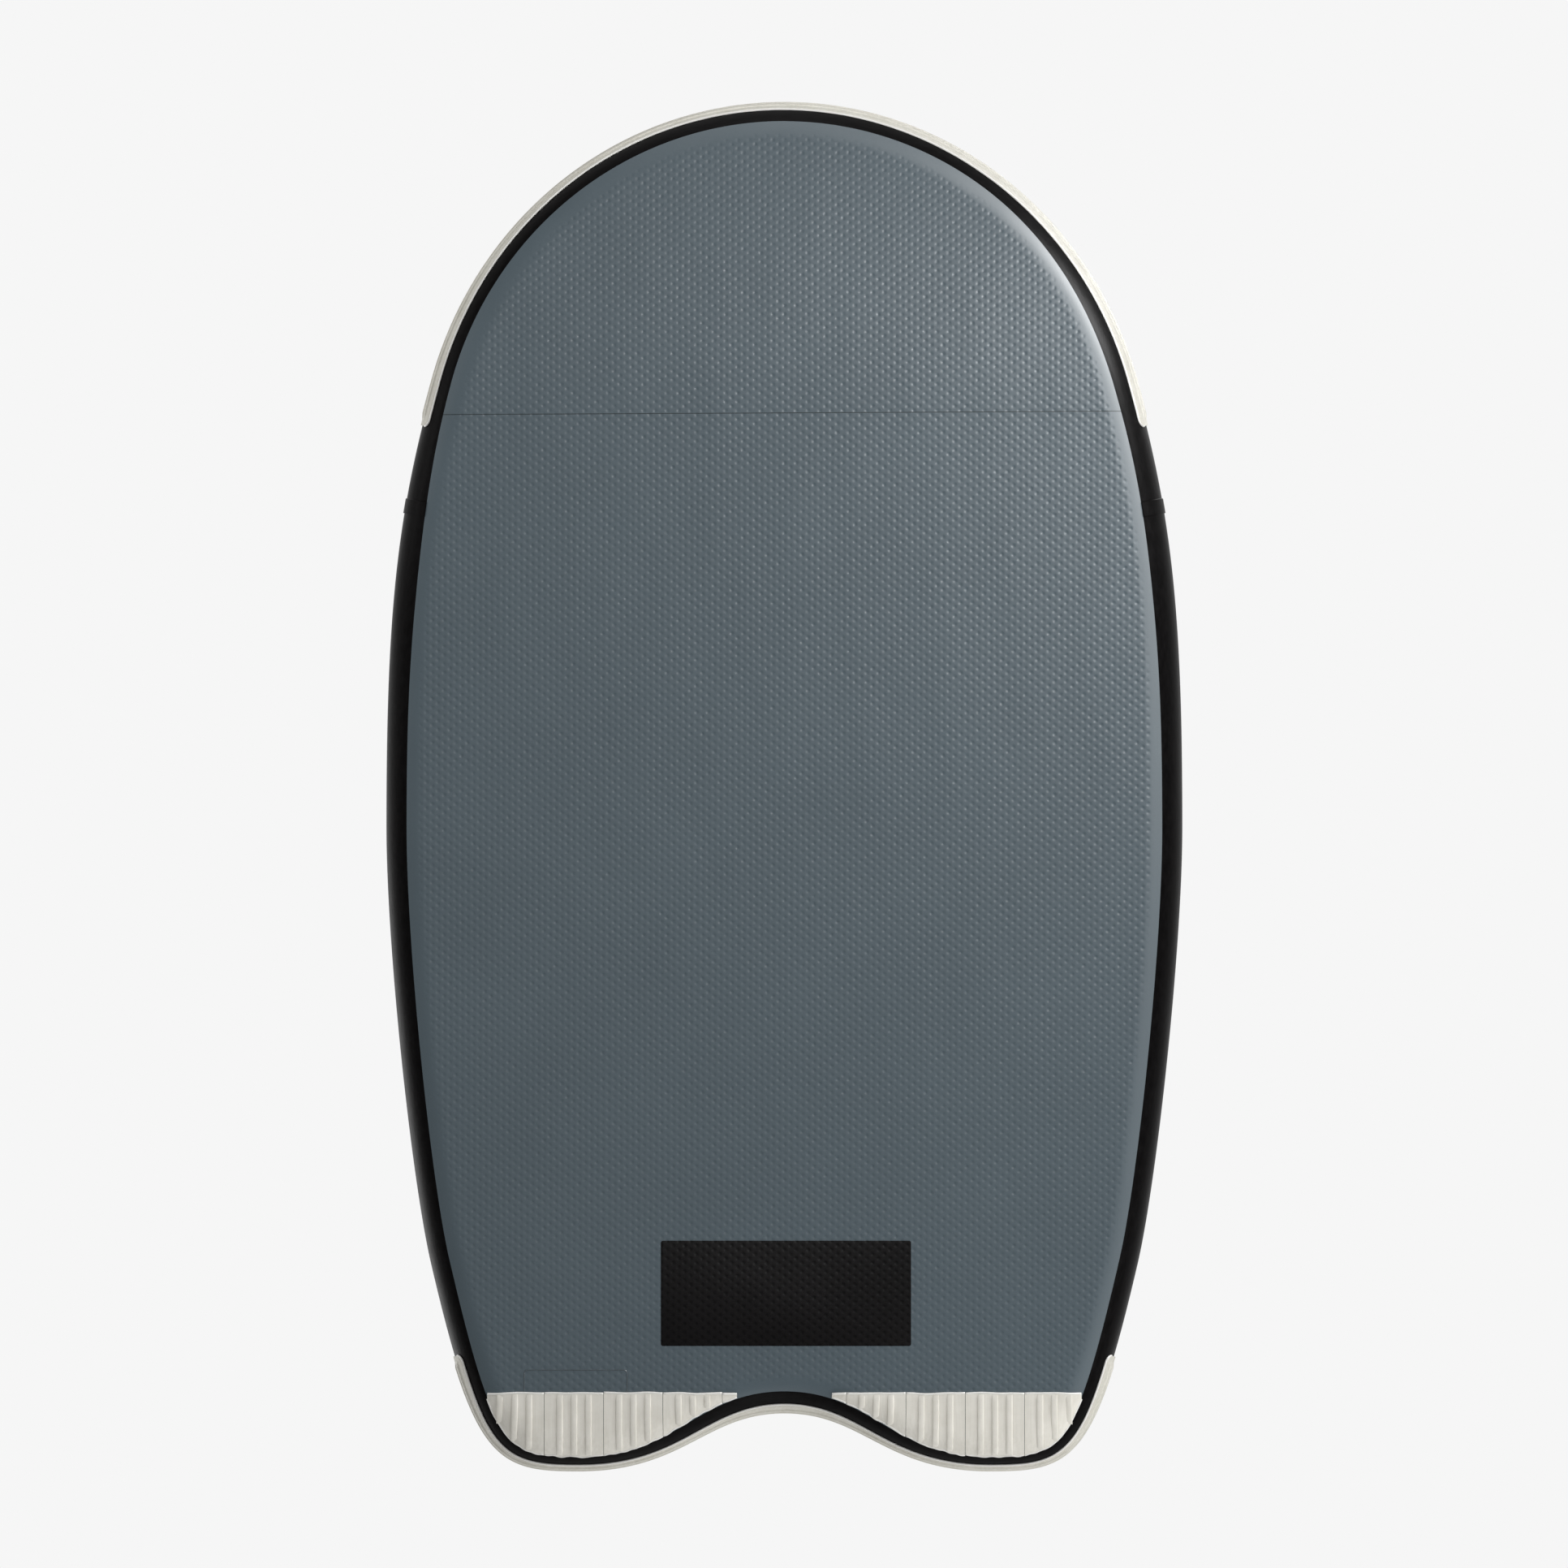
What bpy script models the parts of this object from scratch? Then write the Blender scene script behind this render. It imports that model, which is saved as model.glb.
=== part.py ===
"""Inflatable rescue sled: a drop-stitch board with a kicked nose and a swallow tail.

Metres. The sled lies deck up on the ground at Z = 0: the nose points to -Y, the tail to +Y,
the deck faces +Z and port is +X.
"""

import math
from collections import namedtuple

import bmesh
import bpy
from mathutils import Matrix, Vector

# Outline of the side wall, seen from above. Each half has six points joined by Bezier curves.
LENGTH = 2.092
BEAM = 1.221
NOSE_ROUND = 0.248
SHOULDER_SETBACK = 0.423
SHOULDER_INSET = 0.0735
SHOULDER_SLANT = math.radians(15.5)
SHOULDER_REACH_FORE = 0.262
SHOULDER_REACH_AFT = 0.221
BEAM_SETBACK = 1.108
BEAM_REACH_FORE = 0.323
BEAM_REACH_AFT = 0.183
HIP_SETBACK = 0.314
HIP_INSET = 0.0685
HIP_SLANT = math.radians(13.1)
HIP_REACH_FORE = 0.131
HIP_REACH_AFT = 0.308
LOBE_SPREAD = 0.316
LOBE_REACH_OUT = 0.125
LOBE_REACH_IN = 0.163
NOTCH_DEPTH = 0.089
NOTCH_ROUND = 0.123

# Board section. The side bulges past the flat skins as a half ellipse.
THICKNESS = 0.150
SIDE_BULGE = 0.057
FIT = 0.0003
SKIN = 0.0011
RAIL_STEP = 0.0004
RAIL_FACET = math.radians(20)
SHOULDER_FACETS = 2

# Width of hull skin that the rail band covers, inboard of the side, along the outline.
RAIL_COVER_NOSE = 0.0250
RAIL_COVER_BEAM = 0.0310
RAIL_COVER_HIP = 0.0290
RAIL_COVER_LOBE = 0.0190
RAIL_COVER_NOTCH = 0.0295

# Nose kick: the nose rises ahead of the seam across the hull.
SEAM_SETBACK = 0.4735
NOSE_RISE = 0.080
KICK_SLICES = 7

# Rail band lap, where the nose length of the band lies over the aft length.
LAP_SETBACK = 0.605
LAP_LENGTH = 0.022
LAP_RAMP = 0.004

# Ribbed strake stock, used round the nose, round the tail and as wear strips.
STRAKE_BASE = 0.0023
RIB_HEIGHT = 0.0022
RIB_PITCH = 0.022
RIB_FOOT = 0.0100
RIBS = 3
STRAKE_WIDTH = 0.084
NOSE_STRAKE_SETBACK = 0.4925
TAIL_STRAKE_SETBACK = 0.172
STRIP_WIDTH = 0.0909
STRIP_OUTER_REACH = 0.459
STRIP_BASE = 0.0018
STRIP_SETBACK = 0.116
STRIPS_PER_LOBE = 5
RIB_TIP = 0.008

# Foam deck pad.
PAD_THICKNESS = 0.005
PAD_INSET = 0.190
PAD_NOSE_SETBACK = 0.606
PAD_TAIL_SETBACK = 0.286
PAD_CORNER = 0.060
PAD_GROOVE_WIDTH = 0.004
PAD_GROOVE_DEPTH = 0.0025
PAD_GROOVE_PITCH = 0.120
PAD_GROOVES = 6

# Grab handles along both deck edges.
HANDLE_SETBACKS = {"fore": 0.776, "mid": 1.216, "aft": 1.656}
HANDLE_INSET = 0.118
HANDLE_PATCH = (0.080, 0.300)
PATCH_THICKNESS = 0.0012
PATCH_CORNER = 0.030
WEBBING = 0.0025
HANDLE_STRAP_WIDTH = 0.038
HANDLE_SPAN = 0.270
HANDLE_TAB = 0.042
HANDLE_RISE = 0.036
HANDLE_RAMP = 0.028
GRIP_LENGTH = 0.118
GRIP_WIDTH = 0.046
GRIP_THICKNESS = 0.016
GRIP_EDGE = 0.0025

# Tow and tie-down rings.
RING_WIRE = 0.006
RING_HALF_WIDTH = 0.028
RING_LEG = 0.008
RING_CORNER = 0.006
RING_PLAY = 0.0004
RING_STRAP_WIDTH = 0.040
RING_STRAP = 0.0015
RING_TAIL = 0.036
RING_PATCH_RADIUS = 0.055
NOSE_RING_SETBACK = 0.121
SHOULDER_RING_SETBACK = 0.536
SHOULDER_RING_INSET = 0.115
SHOULDER_RING_TURN = math.radians(18)
TAIL_RING_SETBACK = 0.116
TAIL_RING_SPREAD = 0.330

# Inflation valve, on the centreline near the tail.
VALVE_SETBACK = 0.201
VALVE_BORE = 0.0170
VALVE_BARREL = 0.0212
VALVE_FLANGE = 0.0300
VALVE_FLANGE_THICKNESS = 0.0030
VALVE_SEAL_THICKNESS = 0.0010
VALVE_DEPTH = 0.034
VALVE_SEAT = 0.0125
VALVE_SEAT_LIP = 0.003
VALVE_CHAMFER = 0.0012
NUT_RADIUS = 0.0285
NUT_HEIGHT = 0.006
POCKET_RADIUS = 0.032
POCKET_DEPTH = 0.052
HUB_RADIUS = 0.0062
HUB_HEIGHT = 0.004
HUB_DROP = 0.0215
SPOKE_WIDTH = 0.003
STEM_RADIUS = 0.0030
STEM_PLAY = 0.0003
BUTTON_RADIUS = 0.0068
BUTTON_DROP = 0.0050
BUTTON_HEIGHT = 0.0030
POPPET_RADIUS = 0.0155
POPPET_HEIGHT = 0.0030
SPRING_WIRE = 0.0009
SPRING_RADIUS = 0.0049
SPRING_TURNS = 5
SPRING_STEPS = 8
CAP_RADIUS = 0.0270
CAP_HEIGHT = 0.0030
CAP_PLUG_DEPTH = 0.0040
CAP_PLUG_PLAY = 0.0005
HINGE_REACH = 0.0400
HINGE_WIDTH = 0.010
HINGE_STRAP = 0.0020
TETHER_WALL = 0.0032

STEP_TURN = 0.225
STEP_TRAVEL = 0.300
SLIVER = 0.0001
ROUND_SIDES = 20
STEM_SIDES = 12

# Worked out from the sizes above.
NOSE_Y = -LENGTH / 2
TAIL_Y = LENGTH / 2
SEAM_Y = NOSE_Y + SEAM_SETBACK
LAP_Y = NOSE_Y + LAP_SETBACK
NOSE_STRAKE_Y = NOSE_Y + NOSE_STRAKE_SETBACK
TAIL_STRAKE_Y = TAIL_Y - TAIL_STRAKE_SETBACK
STRIP_Y = TAIL_Y - STRIP_SETBACK
HULL_Z = STRIP_BASE + RIB_HEIGHT + FIT
BOTTOM_Z = HULL_Z - RAIL_STEP
DECK_Z = BOTTOM_Z + THICKNESS - RAIL_STEP
RAIL_BAND = RAIL_STEP + SKIN
CORE_DEPTH = RAIL_BAND + FIT
KICK_STEP = SEAM_SETBACK / KICK_SLICES
VALVE_PLACE = (0.0, TAIL_Y - VALVE_SETBACK)
HANDLE_EYE = WEBBING / 2 + 2 * FIT

Node = namedtuple("Node", "x y heading before after cover")
Station = namedtuple("Station", "point inward cover")

MATERIALS = {
    "hull_skin": ((0.105, 0.133, 0.153), 0.55, 0.0),
    "deck_skin": ((0.105, 0.133, 0.153), 0.55, 0.0),
    "rail_band": ((0.012, 0.011, 0.012), 0.50, 0.0),
    "strake": ((0.62, 0.60, 0.53), 0.60, 0.0),
    "core": ((0.55, 0.55, 0.52), 0.90, 0.0),
    "pad": ((0.030, 0.032, 0.034), 0.90, 0.0),
    "patch": ((0.014, 0.014, 0.015), 0.55, 0.0),
    "webbing": ((0.016, 0.016, 0.017), 0.85, 0.0),
    "grip": ((0.020, 0.020, 0.021), 0.75, 0.0),
    "steel": ((0.62, 0.62, 0.60), 0.22, 1.0),
    "valve": ((0.10, 0.10, 0.105), 0.45, 0.0),
    "seal": ((0.02, 0.02, 0.02), 0.70, 0.0),
}


def material(name):
    """The named finish, made once."""
    found = bpy.data.materials.get(name)
    if found:
        return found
    colour, roughness, metallic = MATERIALS[name]
    made = bpy.data.materials.new(name)
    made.use_nodes = True
    shader = made.node_tree.nodes["Principled BSDF"]
    shader.inputs["Base Color"].default_value = (*colour, 1.0)
    shader.inputs["Roughness"].default_value = roughness
    shader.inputs["Metallic"].default_value = metallic
    return made


def collection(name):
    """The named collection, made once and linked to the scene."""
    found = bpy.data.collections.get(name)
    if found is None:
        found = bpy.data.collections.new(name)
        bpy.context.scene.collection.children.link(found)
    return found


def add_object(name, data, slot, frame=None):
    """Put a mesh or curve in the sled's collection, with its finish and its placing frame."""
    thing = bpy.data.objects.new(name, data)
    collection("rescue_sled").objects.link(thing)
    if slot:
        thing.data.materials.append(material(slot))
    if frame:
        thing.matrix_world = frame
    return thing


def face_outwards(bm):
    """Turn a closed solid's faces outwards: recalculation alone can pick the inside of a thin shell."""
    bmesh.ops.recalc_face_normals(bm, faces=bm.faces[:])
    if bm.calc_volume(signed=True) < 0:
        bmesh.ops.reverse_faces(bm, faces=bm.faces[:])


def mesh_object(name, bm, slot, frame=None):
    """Close a bmesh into an object."""
    face_outwards(bm)
    mesh = bpy.data.meshes.new(name)
    bm.to_mesh(mesh)
    bm.free()
    mesh.shade_smooth()
    mesh.set_sharp_from_angle(angle=math.radians(35))
    return add_object(name, mesh, slot, frame)


def baked(thing):
    """Replace a curve or modified object with its plain welded mesh, in place."""
    bpy.context.view_layer.update()
    evaluated = thing.evaluated_get(bpy.context.evaluated_depsgraph_get())
    mesh = bpy.data.meshes.new_from_object(evaluated)
    name = thing.name
    frame = thing.matrix_world.copy()
    bpy.data.objects.remove(thing)
    bm = bmesh.new()
    bm.from_mesh(mesh)
    bmesh.ops.remove_doubles(bm, verts=bm.verts[:], dist=1e-6)
    bm.to_mesh(mesh)
    bm.free()
    done = add_object(name, mesh, None, frame)
    done.data.name = name
    return done


# The outline and the board section


def outline_nodes():
    """The six points of the port half of the outline, from the nose tip to the tail notch."""
    half = BEAM / 2
    right_angle = math.pi / 2
    return [
        Node(0, NOSE_Y, right_angle, 0, NOSE_ROUND, RAIL_COVER_NOSE),
        Node(
            half - SHOULDER_INSET,
            NOSE_Y + SHOULDER_SETBACK,
            SHOULDER_SLANT,
            SHOULDER_REACH_FORE,
            SHOULDER_REACH_AFT,
            RAIL_COVER_NOSE,
        ),
        Node(half, NOSE_Y + BEAM_SETBACK, 0, BEAM_REACH_FORE, BEAM_REACH_AFT, RAIL_COVER_BEAM),
        Node(
            half - HIP_INSET,
            TAIL_Y - HIP_SETBACK,
            -HIP_SLANT,
            HIP_REACH_FORE,
            HIP_REACH_AFT,
            RAIL_COVER_HIP,
        ),
        Node(LOBE_SPREAD, TAIL_Y, -right_angle, LOBE_REACH_OUT, LOBE_REACH_IN, RAIL_COVER_LOBE),
        Node(0, TAIL_Y - NOTCH_DEPTH, -right_angle, NOTCH_ROUND, 0, RAIL_COVER_NOTCH),
    ]


def station_at(a, b, t):
    """A place on the Bezier curve from node a to node b, with the direction pointing inboard."""
    start = Vector((a.x, a.y))
    end = Vector((b.x, b.y))
    leave = start + Vector((math.sin(a.heading), math.cos(a.heading))) * a.after
    arrive = end - Vector((math.sin(b.heading), math.cos(b.heading))) * b.before
    s = 1 - t
    point = start * s**3 + leave * 3 * s * s * t + arrive * 3 * s * t * t + end * t**3
    along = (leave - start) * s * s + (arrive - leave) * 2 * s * t + (end - arrive) * t * t
    along.normalize()
    blend = t * t * (3 - 2 * t)
    return Station(point, Vector((-along.y, along.x)), a.cover + (b.cover - a.cover) * blend)


def spaced(a, b):
    """Stations from a up to b, spaced so that each span turns and travels about the same."""
    fine = 160
    samples = [station_at(a, b, k / fine) for k in range(fine + 1)]
    effort = [0.0]
    for before, after in zip(samples, samples[1:]):
        turn = before.inward.angle(after.inward, 0.0) / STEP_TURN
        travel = (after.point - before.point).length / STEP_TRAVEL
        effort.append(effort[-1] + turn + travel)
    spans = max(2, round(effort[-1]))
    chosen = []
    for k in range(spans):
        target = effort[-1] * k / spans
        i = max(0, sum(1 for e in effort if e <= target) - 1)
        share = (target - effort[i]) / (effort[i + 1] - effort[i])
        chosen.append(station_at(a, b, (i + share) / fine))
    return chosen


def rail_at(y):
    """The station on the port side of the outline at a given Y, ahead of the lobe tip."""
    nodes = outline_nodes()
    a, b = next((a, b) for a, b in zip(nodes, nodes[1:]) if a.y <= y <= b.y)
    low, high = 0.0, 1.0
    for _ in range(50):
        middle = (low + high) / 2
        if station_at(a, b, middle).point.y < y:
            low = middle
        else:
            high = middle
    return station_at(a, b, low)


def port_stations():
    """Stations of the port half, with one at each place where a piece of the rail ends."""
    marks = [NOSE_STRAKE_Y, LAP_Y - LAP_RAMP, LAP_Y, LAP_Y + LAP_LENGTH, TAIL_STRAKE_Y]
    nodes = outline_nodes()
    regular = [s for a, b in zip(nodes, nodes[1:]) for s in spaced(a, b)]
    regular.append(station_at(nodes[-2], nodes[-1], 1.0))
    marked = [rail_at(y) for y in marks]
    clear = 0.030
    kept = [
        s for s in regular if all((s.point - m.point).length > clear for m in marked) or s.point.x < 1e-6
    ]
    before_lobe = [s for s in kept if s.point.y < TAIL_Y - 1e-9 and s.point.x > LOBE_SPREAD]
    nose = [s for s in kept if s.point.x <= LOBE_SPREAD and s.point.y < 0]
    rest = [s for s in kept if s not in before_lobe and s not in nose]
    return nose + sorted(before_lobe + marked, key=lambda s: s.point.y) + rest


def mirrored(stations):
    """The same stations on the starboard side, in the opposite order."""
    flip = lambda v: Vector((-v.x, v.y))
    return [Station(flip(s.point), flip(s.inward), s.cover) for s in reversed(stations)]


PORT = port_stations()
RING = PORT + mirrored(PORT[1:-1])


def round_nose(end_y):
    """Stations from starboard at end_y, round the nose, to port at end_y."""
    fore = [s for s in PORT if s.point.y <= end_y + 1e-6]
    return mirrored(fore[1:]) + fore


def round_tail(start_y):
    """Stations from port at start_y, round the tail, to starboard at start_y."""
    aft = [s for s in PORT if s.point.y >= start_y - 1e-6]
    return aft + mirrored(aft[:-1])


def on_section(angle, depth):
    """Inset and height of a place on the board section: angle 0 is the hull, pi the deck."""
    half = THICKNESS / 2
    inset = SIDE_BULGE * (1 - math.sin(angle))
    height = half * (1 - math.cos(angle))
    inward = Vector((math.sin(angle) / SIDE_BULGE, math.cos(angle) / half)).normalized()
    return inset + depth * inward.x, height + depth * inward.y


def cover_angle(station):
    """The section angle where the rail band's edge lies on the skin."""
    return math.asin(1 - station.cover / SIDE_BULGE)


def wall_angles(station):
    """Section angles up the side wall, from one edge of the rail band to the other."""
    low = cover_angle(station)
    middle = [math.pi / 2 + RAIL_FACET * k for k in (-2, -1, 0, 1, 2)]
    return [low, *middle, math.pi - low]


def placed(station, inset, height):
    """A place on the board, from its inset and height at a station."""
    plan = station.point + station.inward * inset
    return Vector((plan.x, plan.y, BOTTOM_Z + height))


def on_wall(station, height, stand_off):
    """A place on the side wall's facets at a height, standing off outwards."""
    angles = wall_angles(station)
    levels = [on_section(angle, 0)[1] for angle in angles]
    k = max(i for i in range(len(levels) - 1) if levels[i] <= height or i == 0)
    share = (height - levels[k]) / (levels[k + 1] - levels[k])
    low = on_section(angles[k], -stand_off)
    high = on_section(angles[k + 1], -stand_off)
    return placed(station, *(p + (q - p) * share for p, q in zip(low, high)))


# Mesh building


def bridge(bm, first, second, flip_from=None):
    """Triangles between two closed rows of vertices.

    The quads twist a little where the outline turns, so layers that lie on each other have to
    split them alike: flip_from is where the other diagonal begins.
    """
    count = len(first)
    for i in range(count):
        a, b = first[i], first[(i + 1) % count]
        c, d = second[(i + 1) % count], second[i]
        if flip_from is not None and i >= flip_from:
            bm.faces.new((a, b, d))
            bm.faces.new((b, c, d))
        else:
            bm.faces.new((a, b, c))
            bm.faces.new((a, c, d))


def swept(sections, flip_from=None):
    """A solid through a run of closed sections, capped at both ends."""
    bm = bmesh.new()
    rows = [[bm.verts.new(p) for p in section] for section in sections]
    for first, second in zip(rows, rows[1:]):
        bridge(bm, first, second, flip_from)
    bm.faces.new(rows[0])
    bm.faces.new(rows[-1])
    return bm


def sheet(near, far, deck):
    """A skin from the rail band's edge over the shoulder and across the flat, between two depths."""

    def row(angle_share, depth):
        points = []
        for station in RING:
            edge = cover_angle(station) - FIT / (2 * SIDE_BULGE)
            inset, height = on_section(edge * angle_share, depth)
            points.append(placed(station, inset, THICKNESS - height if deck else height))
        return points

    bm = bmesh.new()
    shares = [1 - k / SHOULDER_FACETS for k in range(SHOULDER_FACETS + 1)]
    rows = [[bm.verts.new(p) for p in row(share, far)] for share in reversed(shares)]
    rows += [[bm.verts.new(p) for p in row(share, near)] for share in shares]
    for k, (first, second) in enumerate(zip(rows, rows[1:])):
        bridge(bm, first, second, 0 if k > SHOULDER_FACETS else None)
    bm.faces.new(rows[0])
    bm.faces.new(rows[-1])
    return bm


def cut(bm, place, away):
    """Cut a solid at a plane, drop the side that away points to, and close the cut."""
    bm.normal_update()
    geometry = bm.verts[:] + bm.edges[:] + bm.faces[:]
    bmesh.ops.bisect_plane(
        bm, geom=geometry, plane_co=place, plane_no=away, dist=1e-7, clear_outer=True
    )
    bmesh.ops.holes_fill(bm, edges=[e for e in bm.edges if e.is_boundary], sides=0)
    return bm


def score(bm, place, normal):
    """Add edges where a plane crosses the faces."""
    bm.normal_update()
    geometry = bm.verts[:] + bm.edges[:] + bm.faces[:]
    bmesh.ops.bisect_plane(bm, geom=geometry, plane_co=place, plane_no=normal, dist=1e-7)


def lift(y):
    """Height that the kick adds at a given Y: straight between the slices of a parabola."""
    ahead = (SEAM_Y - y) / KICK_STEP
    if ahead <= 0:
        return 0.0
    k = math.floor(ahead)
    curve = lambda slices: NOSE_RISE * (slices / KICK_SLICES) ** 2
    return curve(k) + (curve(k + 1) - curve(k)) * (ahead - k)


def kicked(bm):
    """Slice a solid across the nose and raise it to the kicked shape."""
    for k in range(KICK_SLICES + 1):
        score(bm, (0, SEAM_Y - k * KICK_STEP, 0), (0, 1, 0))
    bmesh.ops.remove_doubles(bm, verts=bm.verts[:], dist=SLIVER)
    for vert in bm.verts:
        vert.co.z += lift(vert.co.y)
    return bm


def flat_curve(name, outlines, thickness, slot, frame=None):
    """A flat outline, with any holes, given thickness both ways from its own plane."""
    curve = bpy.data.curves.new(name, "CURVE")
    curve.dimensions = "2D"
    curve.fill_mode = "BOTH"
    curve.extrude = thickness / 2
    for outline in outlines:
        spline = curve.splines.new("POLY")
        spline.points.add(len(outline) - 1)
        for point, (x, y) in zip(spline.points, outline):
            point.co = (x, y, 0, 1)
        spline.use_cyclic_u = True
    return baked(add_object(name, curve, slot, frame))


def turned(name, profile, sides, slot, frame):
    """A profile of radius and height pairs turned about Z; it runs down the outer side."""
    bm = bmesh.new()
    verts = [bm.verts.new((r, 0, z)) for r, z in profile]
    closed = abs(profile[0][0]) > 1e-9
    for first, second in zip(verts, verts[1:] + (verts[:1] if closed else [])):
        bm.edges.new((first, second))
    mesh = bpy.data.meshes.new(name)
    bm.to_mesh(mesh)
    bm.free()
    thing = add_object(name, mesh, slot, frame)
    screw = thing.modifiers.new("turn", "SCREW")
    screw.axis = "Z"
    screw.steps = sides
    screw.render_steps = sides
    screw.use_merge_vertices = True
    screw.merge_threshold = 0.00005
    return thing


def arc(centre, radius, start, end, steps):
    """Points along an arc, angles in degrees, both ends included."""
    turns = [math.radians(start + (end - start) * k / steps) for k in range(steps + 1)]
    return [(centre[0] + radius * math.cos(a), centre[1] + radius * math.sin(a)) for a in turns]


def rounded_rectangle(width, length, corner, steps):
    """A rectangle centred on the origin with round corners."""
    x = width / 2 - corner
    y = length / 2 - corner
    quarters = [((x, y), 0), ((-x, y), 90), ((-x, -y), 180), ((x, -y), 270)]
    return [p for centre, start in quarters for p in arc(centre, corner, start, start + 90, steps)]


def cylinder_cutter(name, radius, low, high, centre):
    """A round cutter about a vertical axis."""
    bm = bmesh.new()
    place = Matrix.Translation((centre[0], centre[1], (low + high) / 2))
    bmesh.ops.create_cone(
        bm, cap_ends=True, segments=ROUND_SIDES, radius1=radius, radius2=radius,
        depth=high - low, matrix=place,
    )
    return cutter(name, bm)


def cutter(name, bm):
    """An object that only cuts others."""
    mesh = bpy.data.meshes.new(name)
    face_outwards(bm)
    bm.to_mesh(mesh)
    bm.free()
    thing = bpy.data.objects.new(name, mesh)
    collection("cutters").objects.link(thing)
    thing.hide_render = True
    thing.display_type = "WIRE"
    return thing


def boolean(thing, tool, operation="DIFFERENCE"):
    """Cut or join one object with another."""
    step = thing.modifiers.new(operation.lower(), "BOOLEAN")
    step.operation = operation
    step.object = tool
    step.solver = "EXACT"


def empty(name, frame):
    """A named placing frame."""
    thing = bpy.data.objects.new(name, None)
    collection("rescue_sled").objects.link(thing)
    thing.matrix_world = frame
    return thing


# The board


def make_core():
    """The spacer threads and air between the skins, as one solid, with a pocket for the valve."""
    bm = bmesh.new()
    rows = []
    steps = range(SHOULDER_FACETS)
    wall = len(wall_angles(RING[0]))
    for k in range(2 * SHOULDER_FACETS + wall):
        row = []
        for station in RING:
            low = cover_angle(station)
            hull = [low * i / SHOULDER_FACETS for i in steps]
            deck = [math.pi - angle for angle in reversed(hull)]
            angles = hull + wall_angles(station) + deck
            row.append(bm.verts.new(placed(station, *on_section(angles[k], CORE_DEPTH))))
        rows.append(row)
    for k, (first, second) in enumerate(zip(rows, rows[1:])):
        bridge(bm, first, second, 0 if k >= SHOULDER_FACETS + wall - 1 else None)
    bm.faces.new(rows[0])
    bm.faces.new(rows[-1])
    core = mesh_object("drop_stitch_core", kicked(bm), "core")
    floor = DECK_Z - POCKET_DEPTH
    boolean(core, cylinder_cutter("valve_pocket", POCKET_RADIUS, floor, DECK_Z + SKIN, VALVE_PLACE))


def make_skins():
    """Hull skin in two panels that meet at the seam, and the deck skin with its valve hole."""
    near, far = RAIL_STEP, RAIL_STEP + SKIN
    aft = cut(sheet(near, far, deck=False), (0, SEAM_Y + FIT / 2, 0), (0, -1, 0))
    mesh_object("hull_skin_main", aft, "hull_skin")
    fore = cut(sheet(near, far, deck=False), (0, SEAM_Y - FIT / 2, 0), (0, 1, 0))
    mesh_object("hull_skin_nose", kicked(fore), "hull_skin")
    deck = mesh_object("deck_skin", kicked(sheet(near, far, deck=True)), "deck_skin")
    hole = VALVE_BARREL + FIT
    low = DECK_Z - 4 * SKIN
    boolean(deck, cylinder_cutter("valve_hole", hole, low, DECK_Z + SKIN, VALVE_PLACE))


def band_section(station, near):
    """The rail band's closed section, its outer face standing near outside the wall."""
    angles = wall_angles(station)
    edge = FIT / (2 * SIDE_BULGE)
    angles = [angles[0] + edge, *angles[1:-1], angles[-1] - edge]
    outer = [placed(station, *on_section(angle, -near)) for angle in angles]
    inner = [placed(station, *on_section(angle, RAIL_BAND - near)) for angle in angles]
    return outer + inner[::-1]


def make_rail_band():
    """The black band in two lengths: the nose length steps out and laps over the aft length."""
    aft = [band_section(s, 0) for s in round_tail(LAP_Y)]
    outer = len(aft[0]) // 2
    mesh_object("rail_band_aft", swept(aft, outer), "rail_band")
    over = RAIL_BAND + FIT
    fore = []
    for station in round_nose(LAP_Y + LAP_LENGTH):
        y = station.point.y
        fore.append(band_section(station, over if y > LAP_Y - LAP_RAMP + 1e-6 else 0))
    mesh_object("rail_band_nose", kicked(swept(fore, outer)), "rail_band")


def strake_profile():
    """Height up the wall and stand-off of the strake's outer face, from top edge to bottom edge."""
    middle = THICKNESS / 2
    top = middle + STRAKE_WIDTH / 2
    bottom = middle - STRAKE_WIDTH / 2
    face = FIT + STRAKE_BASE
    points = [(top, face)]
    for k in range(RIBS):
        centre = middle + RIB_PITCH * ((RIBS - 1) / 2 - k)
        foot = RIB_FOOT / 2
        points += [(centre + foot, face), (centre, face + RIB_HEIGHT), (centre - foot, face)]
    return points + [(bottom, face)]


def strake_section(station):
    """The strake's closed section: its back follows the wall's facets."""
    outer = strake_profile()
    top, bottom = outer[0][0], outer[-1][0]
    bends = [on_section(angle, 0)[1] for angle in wall_angles(station)]
    back = [bottom, *(b for b in bends if bottom < b < top), top]
    points = [on_wall(station, height, stand_off) for height, stand_off in outer]
    return points + [on_wall(station, height, FIT) for height in back]


def make_strakes():
    """The ribbed rub strakes round the nose and round the whole tail."""
    nose = [strake_section(s) for s in round_nose(NOSE_STRAKE_Y)]
    mesh_object("rub_strake_nose", kicked(swept(nose)), "strake")
    tail = [strake_section(s) for s in round_tail(TAIL_STRAKE_Y)]
    mesh_object("rub_strake_tail", swept(tail), "strake")


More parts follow.
